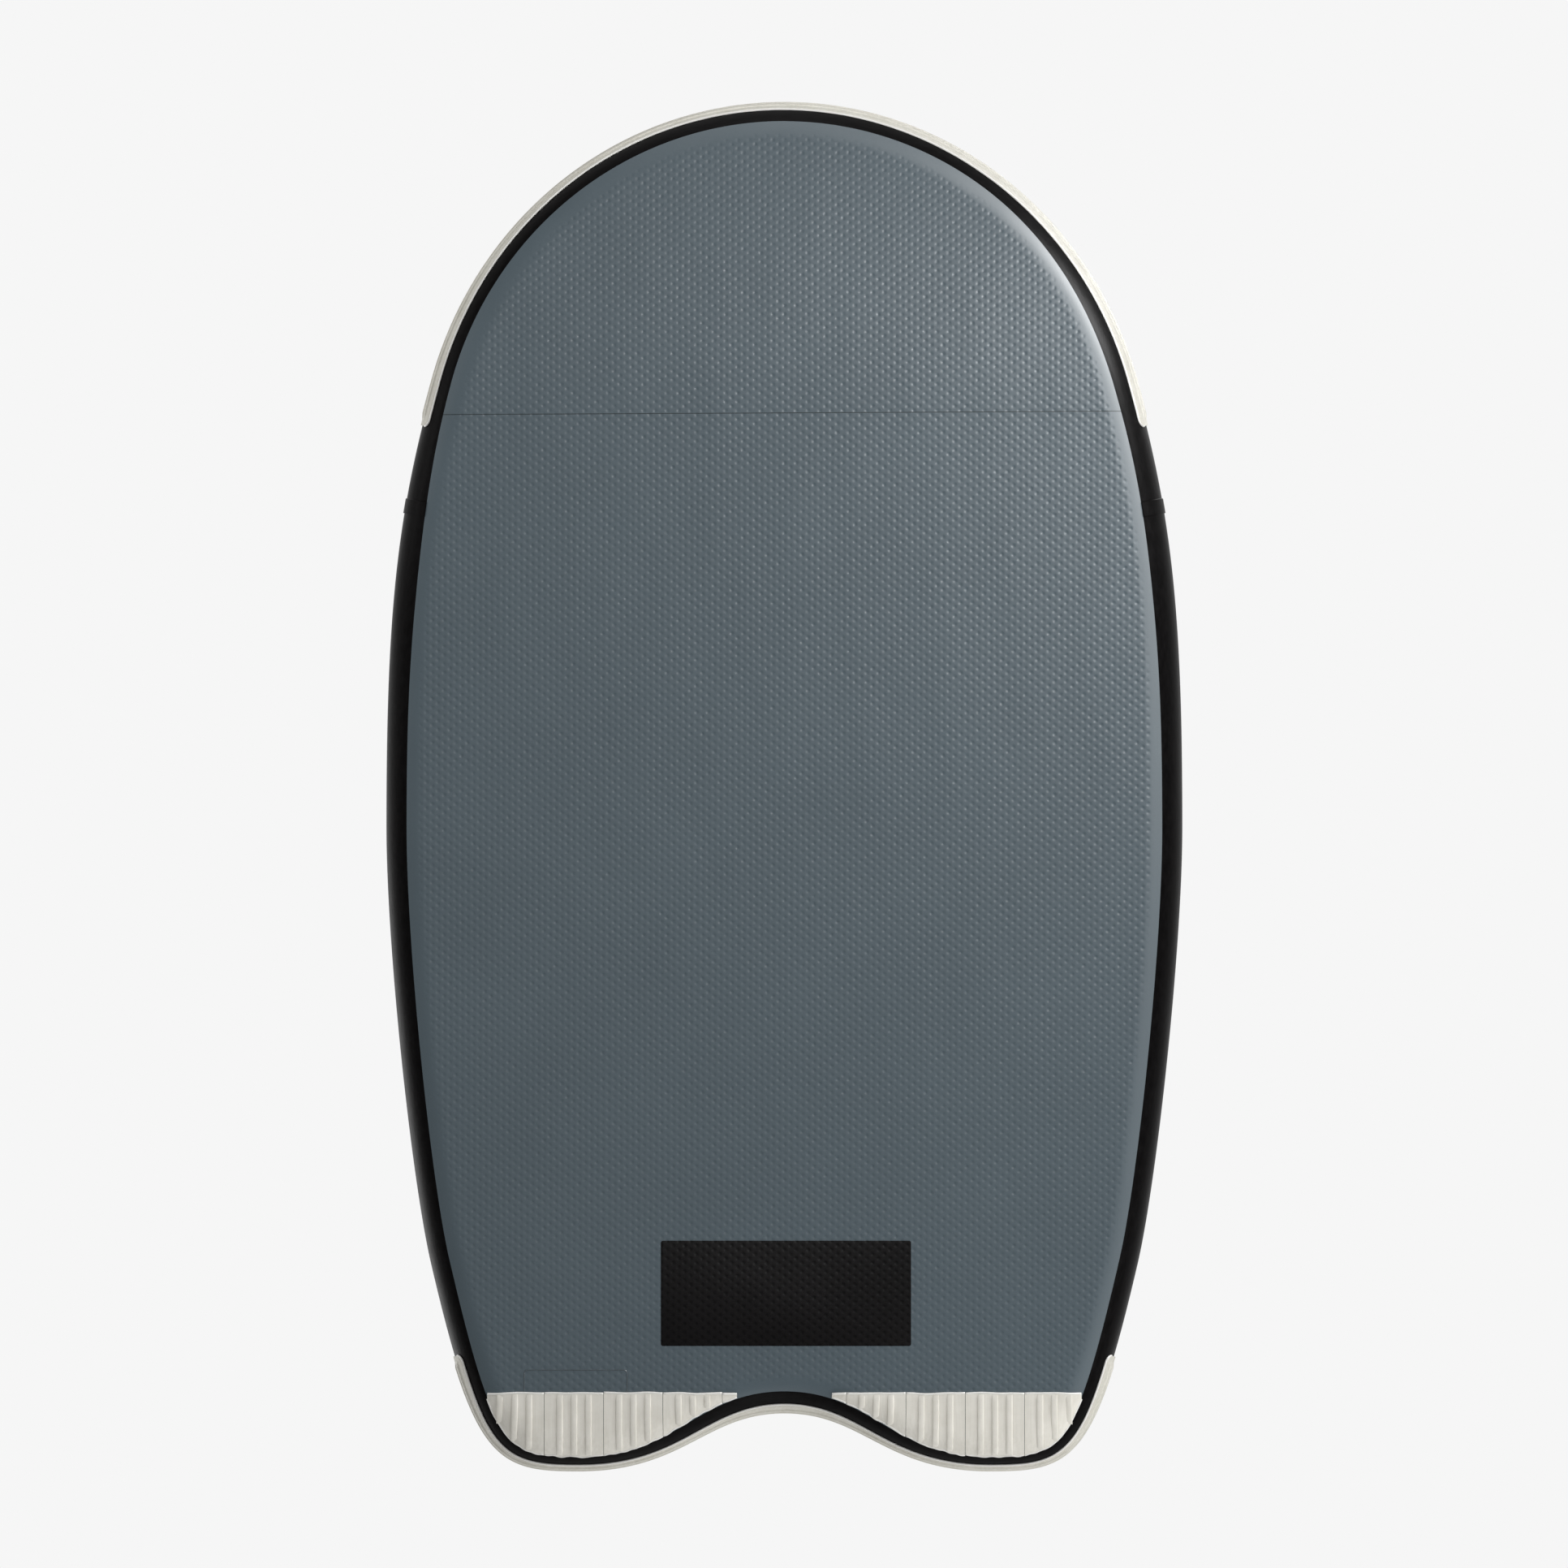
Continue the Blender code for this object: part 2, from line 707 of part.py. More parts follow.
def raise_ribs(bm, centres):
    """Raise ribs from the ground side of a wear strip, tapered at their fore ends."""
    half = RIB_FOOT / 2
    for centre in centres:
        for x in (centre - half, centre + half):
            score(bm, (x, 0, 0), (1, 0, 0))
    bmesh.ops.remove_doubles(bm, verts=bm.verts[:], dist=SLIVER)
    face_outwards(bm)
    for centre in centres:
        crown = [
            f for f in bm.faces
            if f.normal.z < -0.3 and abs(f.calc_center_median().x - centre) < half
        ]
        along = [v.co.y for f in crown for v in f.verts]
        if not crown or max(along) - min(along) < 2 * RIB_TIP:
            continue
        raised = bmesh.ops.extrude_face_region(bm, geom=crown)["geom"]
        for vert in (v for v in raised if isinstance(v, bmesh.types.BMVert)):
            vert.co.x += (centre - vert.co.x) * 0.45
            vert.co.z -= RIB_HEIGHT
            if vert.co.y < STRIP_Y + 1e-5:
                vert.co.y += RIB_TIP
        bmesh.ops.delete(bm, geom=crown, context="FACES")


def make_wear_strips():
    """Strips of the ribbed stock laid fore and aft, side by side, under each tail lobe."""
    near, far = RAIL_STEP - FIT - STRIP_BASE, RAIL_STEP - FIT
    for side, sign in (("port", 1), ("starboard", -1)):
        for number in range(STRIPS_PER_LOBE):
            outer = STRIP_OUTER_REACH - STRIP_WIDTH * number
            inner = outer - STRIP_WIDTH if number + 1 < STRIPS_PER_LOBE else FIT
            bm = cut(sheet(near, far, deck=False), (0, STRIP_Y, 0), (0, -1, 0))
            cut(bm, (sign * (inner + FIT / 2), 0, 0), (-sign, 0, 0))
            cut(bm, (sign * (outer - FIT / 2), 0, 0), (sign, 0, 0))
            middle = outer - STRIP_WIDTH / 2
            ribs = [sign * (middle + RIB_PITCH * (k - (RIBS - 1) / 2)) for k in range(RIBS)]
            raise_ribs(bm, ribs)
            mesh_object(f"wear_strip_{side}_{number + 1}", bm, "strake")


# The deck fittings


def make_deck_pad():
    """The foam pad, its sides following the rail, with grooves run fore and aft."""
    fore = NOSE_Y + PAD_NOSE_SETBACK
    aft = TAIL_Y - PAD_TAIL_SETBACK
    inside = [s.point + s.inward * PAD_INSET for s in PORT]
    port = [p for p in inside if fore < p.y < aft and p.x > PAD_CORNER]
    ends = [rail_at(y).point + rail_at(y).inward * PAD_INSET for y in (fore, aft)]
    port = [Vector((ends[0].x, fore)), *port, Vector((ends[1].x, aft))]
    whole = port + [Vector((-p.x, p.y)) for p in reversed(port)]
    low = DECK_Z + FIT
    bm = bmesh.new()
    rows = [[bm.verts.new((p.x, p.y, z)) for p in whole] for z in (low, low + PAD_THICKNESS)]
    bridge(bm, *rows)
    bm.faces.new(rows[0])
    bm.faces.new(rows[1])
    corners = [
        e for e in bm.edges
        if (e.verts[0].co - e.verts[1].co).xy.length < 1e-6
        and any(abs(e.verts[0].co.y - y) < 1e-6 for y in (fore, aft))
    ]
    bmesh.ops.bevel(bm, geom=corners, offset=PAD_CORNER, segments=4, profile=0.5, affect="EDGES")
    pad = mesh_object("deck_pad", bm, "pad")
    grooves = bmesh.new()
    top = low + PAD_THICKNESS
    for k in range(PAD_GROOVES):
        x = PAD_GROOVE_PITCH * (k - (PAD_GROOVES - 1) / 2)
        size = Matrix.Diagonal((PAD_GROOVE_WIDTH, LENGTH, 2 * PAD_GROOVE_DEPTH, 1))
        bmesh.ops.create_cube(grooves, size=1, matrix=Matrix.Translation((x, 0, top)) @ size)
    boolean(pad, cutter("pad_grooves", grooves))


def handle_line():
    """Centre line of a handle's strap: height above the deck at places along its length."""
    low = FIT + PATCH_THICKNESS + FIT + WEBBING / 2
    half = HANDLE_SPAN / 2
    foot = half - HANDLE_TAB
    steps = 5
    points = [(-half, low)]
    for k in range(steps + 1):
        share = k / steps
        rise = HANDLE_RISE * (1 - math.cos(math.pi * share)) / 2
        points.append((-foot + HANDLE_RAMP * share, low + rise))
    return points + [(-y, z) for y, z in reversed(points)]


def thickened(line, thickness):
    """A closed outline round a centre line."""
    upper, lower = [], []
    for k, (x, y) in enumerate(line):
        before = Vector(line[max(k - 1, 0)])
        after = Vector(line[min(k + 1, len(line) - 1)])
        along = (after - before).normalized()
        across = Vector((-along.y, along.x)) * thickness / 2
        upper.append((x + across.x, y + across.y))
        lower.append((x - across.x, y - across.y))
    return upper[::-1] + lower


def make_handle(name, frame):
    """One grab handle: glued patch, webbing strap and rubber grip, along Y of its frame."""
    holder = empty(name, frame)
    stand = frame @ Matrix.Rotation(math.pi / 2, 4, "Z") @ Matrix.Rotation(math.pi / 2, 4, "X")
    level = frame @ Matrix.Translation((0, 0, FIT + PATCH_THICKNESS / 2))
    corners = rounded_rectangle(*HANDLE_PATCH, PATCH_CORNER, 3)
    pieces = [flat_curve(f"{name}_patch", [corners], PATCH_THICKNESS, "patch", level)]
    line = handle_line()
    outline = thickened(line, WEBBING)
    pieces.append(flat_curve(f"{name}_strap", [outline], HANDLE_STRAP_WIDTH, "webbing", stand))
    top = line[len(line) // 2][1]
    across = frame @ Matrix.Translation((0, 0, top)) @ Matrix.Rotation(math.pi / 2, 4, "X")
    edge = GRIP_THICKNESS / 2
    side = GRIP_WIDTH / 2 - edge
    round_end = arc((side, 0), edge, -90, 90, 6) + arc((-side, 0), edge, 90, 270, 6)
    slot_x = HANDLE_STRAP_WIDTH / 2 + FIT
    slot_y = WEBBING / 2 + FIT
    slot = [(slot_x, slot_y), (-slot_x, slot_y), (-slot_x, -slot_y), (slot_x, -slot_y)]
    grip = flat_curve(f"{name}_grip", [round_end, slot], GRIP_LENGTH, "grip", across)
    bevel_rims(grip, GRIP_EDGE, GRIP_LENGTH / 2)
    pieces.append(grip)
    for piece in pieces:
        keep = piece.matrix_world.copy()
        piece.parent = holder
        piece.matrix_world = keep


def bevel_rims(thing, width, half_length):
    """Round the outer rims at both ends of an extruded outline."""
    bm = bmesh.new()
    bm.from_mesh(thing.data)
    rims = [
        e for e in bm.edges
        if abs(sum(v.co.z for v in e.verts)) > 2 * half_length - 1e-6
        and any(abs(f.normal.z) < 0.5 for f in e.link_faces)
        and any(abs(v.co.y) > HANDLE_EYE for v in e.verts)
    ]
    bmesh.ops.bevel(bm, geom=rims, offset=width, segments=1, profile=0.5, affect="EDGES")
    bm.to_mesh(thing.data)
    bm.free()


def ring_path():
    """Centre line of a D-ring in its own plane: the straight bar lies along X at Y = 0."""
    half, corner = RING_HALF_WIDTH, RING_CORNER
    right = arc((half - corner, -corner), corner, 90, 0, 2)
    bow = arc((0, -RING_LEG - corner), half, 0, -180, 9)
    left = arc((-half + corner, -corner), corner, 180, 90, 2)
    return right + bow + left


def loop_outline():
    """Section of the webbing loop across the bar: an eye round the bar and a doubled tail."""
    eye = RING_WIRE / 2 + RING_PLAY
    outer = eye + RING_STRAP
    tail = RING_TAIL
    under = -outer
    over = under + 2 * RING_STRAP
    lean = math.degrees(math.asin(-over / outer))
    shell = arc((0, 0), outer, -90, -360 - lean, 12)
    shape = [*shell, (tail, over), (tail, under)]
    return [shape, arc((0, 0), eye, 0, 330, 11)]


def make_tow_ring(name, frame, patch_frame=None):
    """One ring: glued patch, folded webbing loop, and a D-ring that swings on its bar."""
    holder = empty(name, frame)
    sides = ROUND_SIDES
    disc = [p for p in arc((0, 0), RING_PATCH_RADIUS, 0, 360 - 360 / sides, sides - 1)]
    if patch_frame is None:
        level = frame @ Matrix.Translation((0, 0, FIT + PATCH_THICKNESS / 2))
        flat_curve(f"{name}_patch", [disc], PATCH_THICKNESS, "patch", level)
    else:
        bm = bmesh.new()
        rows = []
        for height in (FIT, FIT + PATCH_THICKNESS):
            rows.append([bm.verts.new(patch_frame @ Vector((x, y, height))) for x, y in disc])
        bridge(bm, *rows)
        bm.faces.new(rows[0])
        bm.faces.new(rows[1])
        mesh_object(f"{name}_patch", kicked(bm), "patch")
    eye = RING_WIRE / 2 + RING_PLAY + RING_STRAP
    pivot = frame @ Matrix.Translation((0, 0, FIT + PATCH_THICKNESS + FIT + eye))
    upright = pivot @ Matrix.Rotation(math.pi / 2, 4, "Z") @ Matrix.Rotation(math.pi / 2, 4, "X")
    flat_curve(f"{name}_loop", loop_outline(), RING_STRAP_WIDTH, "webbing", upright)
    curve = bpy.data.curves.new(f"{name}_ring", "CURVE")
    curve.dimensions = "3D"
    curve.bevel_depth = RING_WIRE / 2
    curve.bevel_resolution = 2
    spline = curve.splines.new("POLY")
    path = ring_path()
    spline.points.add(len(path) - 1)
    for point, (x, y) in zip(spline.points, path):
        point.co = (x, y, 0, 1)
    spline.use_cyclic_u = True
    ring = baked(add_object(f"{name}_ring", curve, "steel", pivot))
    ring.data.shade_smooth()
    keep = ring.matrix_world.copy()
    ring.parent = holder
    ring.matrix_world = keep
    print(f"{name} pivot {tuple(round(v, 5) for v in pivot.translation)}",
          f"axis {tuple(round(v, 5) for v in pivot.to_3x3().col[0])}")


def deck_frame(x, y, turn):
    """A frame on the deck skin: its Z is the deck's outward direction."""
    return Matrix.Translation((x, y, DECK_Z)) @ Matrix.Rotation(turn, 4, "Z")


def make_handles():
    """Three handles along each side of the deck."""
    for place, setback in HANDLE_SETBACKS.items():
        station = rail_at(NOSE_Y + setback)
        spot = station.point + station.inward * HANDLE_INSET
        turn = math.atan2(station.inward.y, -station.inward.x)
        make_handle(f"handle_port_{place}", deck_frame(spot.x, spot.y, -turn))
        make_handle(f"handle_starboard_{place}", deck_frame(-spot.x, spot.y, turn))


def make_tow_rings():
    """One ring at the nose, two at the shoulders and two at the tail lobes."""
    y = NOSE_Y + NOSE_RING_SETBACK
    slope = (lift(y) - lift(y + RING_TAIL)) / RING_TAIL
    tilt = Matrix.Rotation(-math.atan(slope), 4, "X")
    nose = Matrix.Translation((0, y, DECK_Z + lift(y))) @ tilt
    make_tow_ring("tow_ring_nose", nose, deck_frame(0, y, 0))
    station = rail_at(NOSE_Y + SHOULDER_RING_SETBACK)
    spot = station.point + station.inward * SHOULDER_RING_INSET
    make_tow_ring("tow_ring_port", deck_frame(spot.x, spot.y, SHOULDER_RING_TURN))
    make_tow_ring("tow_ring_starboard", deck_frame(-spot.x, spot.y, -SHOULDER_RING_TURN))
    y = TAIL_Y - TAIL_RING_SETBACK
    make_tow_ring("tow_ring_tail_port", deck_frame(TAIL_RING_SPREAD, y, math.pi))
    make_tow_ring("tow_ring_tail_starboard", deck_frame(-TAIL_RING_SPREAD, y, math.pi))


# The valve


def make_valve():
    """Inflation valve: body, seal, backing nut, sprung stem, cap and tether ring."""
    frame = Matrix.Translation((*VALVE_PLACE, DECK_Z))
    seal_top = FIT + VALVE_SEAL_THICKNESS
    seal = [
        (VALVE_FLANGE, seal_top), (VALVE_FLANGE, FIT),
        (VALVE_BARREL + FIT, FIT), (VALVE_BARREL + FIT, seal_top),
    ]
    turned("valve_seal", seal, ROUND_SIDES, "seal", frame)
    foot = seal_top + FIT
    top = foot + VALVE_FLANGE_THICKNESS
    rim = VALVE_CHAMFER
    lip = VALVE_SEAT_LIP
    profile = [
        (VALVE_FLANGE - rim, top), (VALVE_FLANGE, top - rim), (VALVE_FLANGE, foot),
        (VALVE_BARREL, foot), (VALVE_BARREL, -VALVE_DEPTH), (VALVE_SEAT, -VALVE_DEPTH),
        (VALVE_SEAT, lip - VALVE_DEPTH), (VALVE_BORE, 2 * lip - VALVE_DEPTH), (VALVE_BORE, top),
    ]
    body = turned("valve_body", profile, ROUND_SIDES, "valve", frame)
    boolean(body, make_spider(frame), "UNION")
    below = -(SKIN + FIT)
    nut = [
        (NUT_RADIUS, below), (NUT_RADIUS, below - NUT_HEIGHT),
        (VALVE_BARREL + FIT, below - NUT_HEIGHT), (VALVE_BARREL + FIT, below),
    ]
    turned("valve_nut", nut, ROUND_SIDES, "valve", frame)
    head = -BUTTON_DROP
    neck = head - BUTTON_HEIGHT
    poppet = -VALVE_DEPTH - FIT
    stem = [
        (0, head), (BUTTON_RADIUS, head), (BUTTON_RADIUS, neck), (STEM_RADIUS, neck),
        (STEM_RADIUS, poppet), (POPPET_RADIUS, poppet), (POPPET_RADIUS, poppet - POPPET_HEIGHT),
        (0, poppet - POPPET_HEIGHT),
    ]
    turned("valve_stem", stem, STEM_SIDES, "valve", frame)
    make_spring(frame, -HUB_DROP + FIT, neck - FIT)
    make_cap(frame, top)


def make_spider(frame):
    """A hub on three spokes inside the barrel, bored for the stem."""
    bore = STEM_RADIUS + STEM_PLAY
    profile = [
        (HUB_RADIUS, -HUB_DROP), (HUB_RADIUS, -HUB_DROP - HUB_HEIGHT),
        (bore, -HUB_DROP - HUB_HEIGHT), (bore, -HUB_DROP),
    ]
    hub = turned("valve_hub", profile, STEM_SIDES, None, frame)
    spokes = bmesh.new()
    reach = (VALVE_BORE + VALVE_BARREL) / 2
    inner = (HUB_RADIUS + bore) / 2
    for k in range(3):
        size = Matrix.Diagonal((reach - inner, SPOKE_WIDTH, HUB_HEIGHT * 0.8, 1))
        middle = Matrix.Translation(((reach + inner) / 2, 0, -HUB_DROP - HUB_HEIGHT / 2))
        turn = Matrix.Rotation(math.radians(120 * k), 4, "Z")
        bmesh.ops.create_cube(spokes, size=1, matrix=turn @ middle @ size)
    arms = cutter("valve_spokes", spokes)
    arms.matrix_world = frame
    boolean(hub, arms, "UNION")
    collection("rescue_sled").objects.unlink(hub)
    collection("cutters").objects.link(hub)
    hub.hide_render = True
    hub.display_type = "WIRE"
    return hub


def make_spring(frame, low, high):
    """The return spring: one open helix between the hub and the push button."""
    curve = bpy.data.curves.new("valve_spring", "CURVE")
    curve.dimensions = "3D"
    curve.bevel_depth = SPRING_WIRE / 2
    curve.bevel_resolution = 1
    curve.use_fill_caps = True
    spline = curve.splines.new("POLY")
    count = SPRING_TURNS * SPRING_STEPS + 1
    spline.points.add(count - 1)
    first = low + SPRING_WIRE / 2
    last = high - SPRING_WIRE / 2
    path = []
    for k in range(count):
        turn = 2 * math.pi * k / SPRING_STEPS
        height = first + (last - first) * k / (count - 1)
        path.append(Vector((SPRING_RADIUS * math.cos(turn), SPRING_RADIUS * math.sin(turn), height)))
    for point, place in zip(spline.points, path):
        point.co = (*place, 1)
    baked(add_object("valve_spring", curve, "steel", frame))
    beyond = SPRING_STEPS // 2
    least = min((p - q).length for k, p in enumerate(path) for q in path[k + beyond:])
    print(f"valve_spring least gap to itself {least - SPRING_WIRE:.5f}")


def make_cap(frame, flange_top):
    """The push-in cap on its film hinge, and the tether ring that carries the hinge."""
    low = flange_top + FIT
    high = low + CAP_HEIGHT
    plug = VALVE_BORE - CAP_PLUG_PLAY
    deep = flange_top - CAP_PLUG_DEPTH
    profile = [
        (0, high), (CAP_RADIUS - VALVE_CHAMFER, high), (CAP_RADIUS, high - VALVE_CHAMFER),
        (CAP_RADIUS, low), (plug, low), (plug, deep + VALVE_CHAMFER), (plug - VALVE_CHAMFER, deep),
        (0, deep),
    ]
    hinge = frame @ Matrix.Translation((0, -HINGE_REACH, flange_top + FIT / 2))
    cap = turned("valve_cap", profile, ROUND_SIDES, "valve", frame)
    ear = cutter_box(
        "cap_ear", (-HINGE_WIDTH / 2, HINGE_WIDTH / 2),
        (-HINGE_REACH + FIT / 2, -CAP_RADIUS / 2), (low, low + HINGE_STRAP), frame,
    )
    boolean(cap, ear, "UNION")
    inner = VALVE_FLANGE + FIT
    outer = inner + TETHER_WALL
    ring = [(outer, FIT + HINGE_STRAP), (outer, FIT), (inner, FIT), (inner, FIT + HINGE_STRAP)]
    tether = turned("valve_tether", ring, ROUND_SIDES, "valve", frame)
    lug = cutter_box(
        "tether_lug", (-HINGE_WIDTH / 2, HINGE_WIDTH / 2),
        (-HINGE_REACH - FIT / 2, -(inner + outer) / 2), (FIT + HINGE_STRAP / 4, flange_top), frame,
    )
    boolean(tether, lug, "UNION")
    print(f"valve_cap pivot {tuple(round(v, 5) for v in hinge.translation)}")


def cutter_box(name, x, y, z, frame):
    """A box for a Boolean, from its low and high limits on each axis."""
    bm = bmesh.new()
    size = Matrix.Diagonal((x[1] - x[0], y[1] - y[0], z[1] - z[0], 1))
    middle = Matrix.Translation([(low + high) / 2 for low, high in (x, y, z)])
    bmesh.ops.create_cube(bm, size=1, matrix=middle @ size)
    tool = cutter(name, bm)
    tool.matrix_world = frame
    return tool


for old in list(bpy.data.objects):
    bpy.data.objects.remove(old)
make_core()
make_skins()
make_rail_band()
make_strakes()
make_wear_strips()
make_deck_pad()
make_handles()
make_tow_rings()
make_valve()
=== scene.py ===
"""A rescue sled towed behind a watercraft: an inflatable drop-stitch board with a kicked nose, a swallow
tail, ribbed rub strakes and wear strips, deck pad, grab handles, tow rings and an inflation valve.

Metres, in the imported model's frame: the nose points to -Y, the deck faces +Z and port is +X.
"""

import math

import bmesh
import bpy
import numpy as np
from mathutils import Matrix, Vector, noise


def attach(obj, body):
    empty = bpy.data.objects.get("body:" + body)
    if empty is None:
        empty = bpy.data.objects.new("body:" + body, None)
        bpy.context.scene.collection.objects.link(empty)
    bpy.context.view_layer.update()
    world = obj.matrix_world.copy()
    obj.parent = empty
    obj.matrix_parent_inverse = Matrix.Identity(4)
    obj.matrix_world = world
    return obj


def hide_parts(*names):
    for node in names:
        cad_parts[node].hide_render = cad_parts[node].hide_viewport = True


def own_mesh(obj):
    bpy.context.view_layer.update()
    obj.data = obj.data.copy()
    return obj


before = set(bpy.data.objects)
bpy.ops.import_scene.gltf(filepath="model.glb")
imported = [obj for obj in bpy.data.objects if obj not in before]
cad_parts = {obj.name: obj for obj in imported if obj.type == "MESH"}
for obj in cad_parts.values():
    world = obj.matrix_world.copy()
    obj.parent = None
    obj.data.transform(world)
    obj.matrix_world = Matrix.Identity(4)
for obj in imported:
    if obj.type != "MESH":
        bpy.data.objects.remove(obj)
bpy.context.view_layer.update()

# The studio. The camera lies far below the sled and looks straight up at the hull, with the nose at the
# top of the picture. The floor under the sled is pale and keeps its shadow for a camera above it, and it
# lets light and a camera below it through, so that the same plain light reaches the hull.

CAMERA_RANGE = 100.0
CAMERA_SPOT = (-0.0006, -0.0037, -CAMERA_RANGE)
PICTURE_WIDTH = 2.4031
SENSOR_WIDTH = 36.0
BACKGROUND = (0.922, 0.922, 0.922, 1.0)
AMBIENT = (0.335, 0.335, 0.335, 1.0)
FLOOR_PAPER = (0.86, 0.86, 0.86, 1.0)
FLOOR_HALF = 9.0
FLOOR_Z = -0.0003
# a reflection sees the floor only from further off than this, and the floor fades out between two distances
FLOOR_NEAR = 0.12
FLOOR_FADE = (1.3, 2.3)
# name: place, point aimed at, size, power, and whether matte surfaces catch its light as well as glossy ones
LAMPS = {
    "hull_key": ((1.30, -1.15, -1.90), (0.25, -0.4, 0.0), 1.0, 37.0, True),
    "hull_left": ((-2.40, -0.90, -1.00), (-0.4, -0.3, 0.0), 1.0, 5.0, True),
    "left_wall": ((-2.60, -1.00, 0.05), (-0.4, -0.5, 0.08), 0.8, 10.0, True),
    "nose_wall": ((0.00, -2.90, 0.15), (0.0, -0.8, 0.1), 0.8, 10.0, True),
    "tail_right": ((2.00, 1.30, -0.80), (0.1, 0.95, 0.0), 0.7, 14.0, True),
    "tail_wall": ((0.30, 2.90, -0.20), (0.0, 0.9, 0.0), 0.8, 12.0, True),
    "rim_sheen": ((2.20, -1.90, -0.50), (0.4, -0.6, 0.0), 1.1, 430.0, False),
    "hull_sheen": ((1.10, -0.90, -1.30), (0.2, -0.4, 0.0), 0.7, 28.0, False),
    "deck_key": ((2.4, -2.2, 3.4), (0.0, 0.0, 0.0), 1.6, 70.0, True),
    "deck_fill": ((-3.0, 1.5, 3.2), (0.0, 0.0, 0.0), 2.4, 36.0, True),
}


def placed(name, data):
    """A new thing in the scene that shows some data."""
    thing = bpy.data.objects.new(name, data)
    bpy.context.scene.collection.objects.link(thing)
    return thing


def add(tree, kind, inputs=None, **settings):
    """Add a node with its settings and its inputs, each a value or another node's socket."""
    node = tree.nodes.new(kind)
    for name, value in settings.items():
        setattr(node, name, value)
    for name, value in (inputs or {}).items():
        if isinstance(value, bpy.types.NodeSocket):
            tree.links.new(value, node.inputs[name])
        else:
            node.inputs[name].default_value = value
    return node


def calc(tree, operation, first, second=0.0, clamp=False):
    """The result of one sum."""
    return add(tree, "ShaderNodeMath", {0: first, 1: second}, operation=operation, use_clamp=clamp).outputs[0]


def product(tree, first, *others):
    """Several values multiplied together."""
    for other in others:
        first = calc(tree, "MULTIPLY", first, other)
    return first


def ranged(tree, value, low, high, to_low=0.0, to_high=1.0):
    """A value taken from one range to another, kept within it."""
    inputs = {"Value": value, "From Min": low, "From Max": high, "To Min": to_low, "To Max": to_high}
    return add(tree, "ShaderNodeMapRange", inputs).outputs["Result"]


def plain_tree(owner):
    """The emptied nodes of the world or a material, its rays, and the share of them that see it plainly."""
    owner.use_nodes = True
    tree = owner.node_tree
    tree.nodes.clear()
    rays = add(tree, "ShaderNodeLightPath").outputs
    seen = calc(tree, "MAXIMUM", rays["Is Camera Ray"], rays["Is Glossy Ray"])
    return tree, rays, calc(tree, "MAXIMUM", seen, rays["Is Transmission Ray"])


camera_data = bpy.data.cameras.new("camera")
camera = placed("camera", camera_data)
camera.location = CAMERA_SPOT
camera.rotation_euler = (math.pi, 0.0, 0.0)
camera_data.sensor_width = SENSOR_WIDTH
camera_data.lens = SENSOR_WIDTH * CAMERA_RANGE / PICTURE_WIDTH
camera_data.clip_start = 1.0
camera_data.clip_end = 3 * CAMERA_RANGE
bpy.context.scene.camera = camera
bpy.context.scene.view_settings.view_transform = "Standard"

world = bpy.data.worlds.new("studio")
bpy.context.scene.world = world
tree, rays, seen = plain_tree(world)
soft = add(tree, "ShaderNodeBackground", {"Color": AMBIENT})
pale = add(tree, "ShaderNodeBackground", {"Color": BACKGROUND})
mix = add(tree, "ShaderNodeMixShader", {0: seen, 1: soft.outputs[0], 2: pale.outputs[0]})
add(tree, "ShaderNodeOutputWorld", {"Surface": mix.outputs[0]})

floor_mesh = bpy.data.meshes.new("floor")
corners = [(x * FLOOR_HALF, y * FLOOR_HALF, FLOOR_Z) for x, y in ((-1, -1), (1, -1), (1, 1), (-1, 1))]
floor_mesh.from_pydata(corners, [], [(0, 1, 2, 3)])
floor = placed("floor", floor_mesh)
pale_floor = bpy.data.materials.new("pale_floor")
floor_mesh.materials.append(pale_floor)
tree, rays, seen = plain_tree(pale_floor)
above = calc(tree, "SUBTRACT", 1.0, add(tree, "ShaderNodeNewGeometry").outputs["Backfacing"])
place = add(tree, "ShaderNodeTexCoord").outputs["Object"]
reach = add(tree, "ShaderNodeVectorMath", {0: place}, operation="LENGTH").outputs["Value"]
clear_of_hull = calc(tree, "GREATER_THAN", rays["Ray Length"], FLOOR_NEAR)
solid_share = product(tree, seen, above, clear_of_hull, ranged(tree, reach, *FLOOR_FADE, 1.0, 0.0))
clear = add(tree, "ShaderNodeBsdfTransparent")
paper = add(tree, "ShaderNodeBsdfDiffuse", {"Color": FLOOR_PAPER})
mix = add(tree, "ShaderNodeMixShader", {0: solid_share, 1: clear.outputs[0], 2: paper.outputs[0]})
add(tree, "ShaderNodeOutputMaterial", {"Surface": mix.outputs[0]})

for name, (spot, aim, size, power, matte) in LAMPS.items():
    lamp_data = bpy.data.lights.new(name, "AREA")
    lamp_data.size = size
    lamp_data.energy = power
    lamp = placed(name, lamp_data)
    lamp.location = spot
    lamp.rotation_euler = (Vector(aim) - Vector(spot)).to_track_quat("-Z", "Y").to_euler()
    lamp.visible_camera = False
    lamp.visible_diffuse = matte

# The drop-stitch core: two woven sheets held 150 mm apart by thousands of spacer threads, with air
# between them. The skins and bands cover it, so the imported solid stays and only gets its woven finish.


def finish(name, roughness, metallic=0.0, specular=0.5):
    """A new material; gives it back with its node tree and its shader."""
    made = bpy.data.materials.new(name)
    made.use_nodes = True
    shader = made.node_tree.nodes["Principled BSDF"]
    shader.inputs["Roughness"].default_value = roughness
    shader.inputs["Metallic"].default_value = metallic
    shader.inputs["Specular IOR Level"].default_value = specular
    return made, made.node_tree, shader


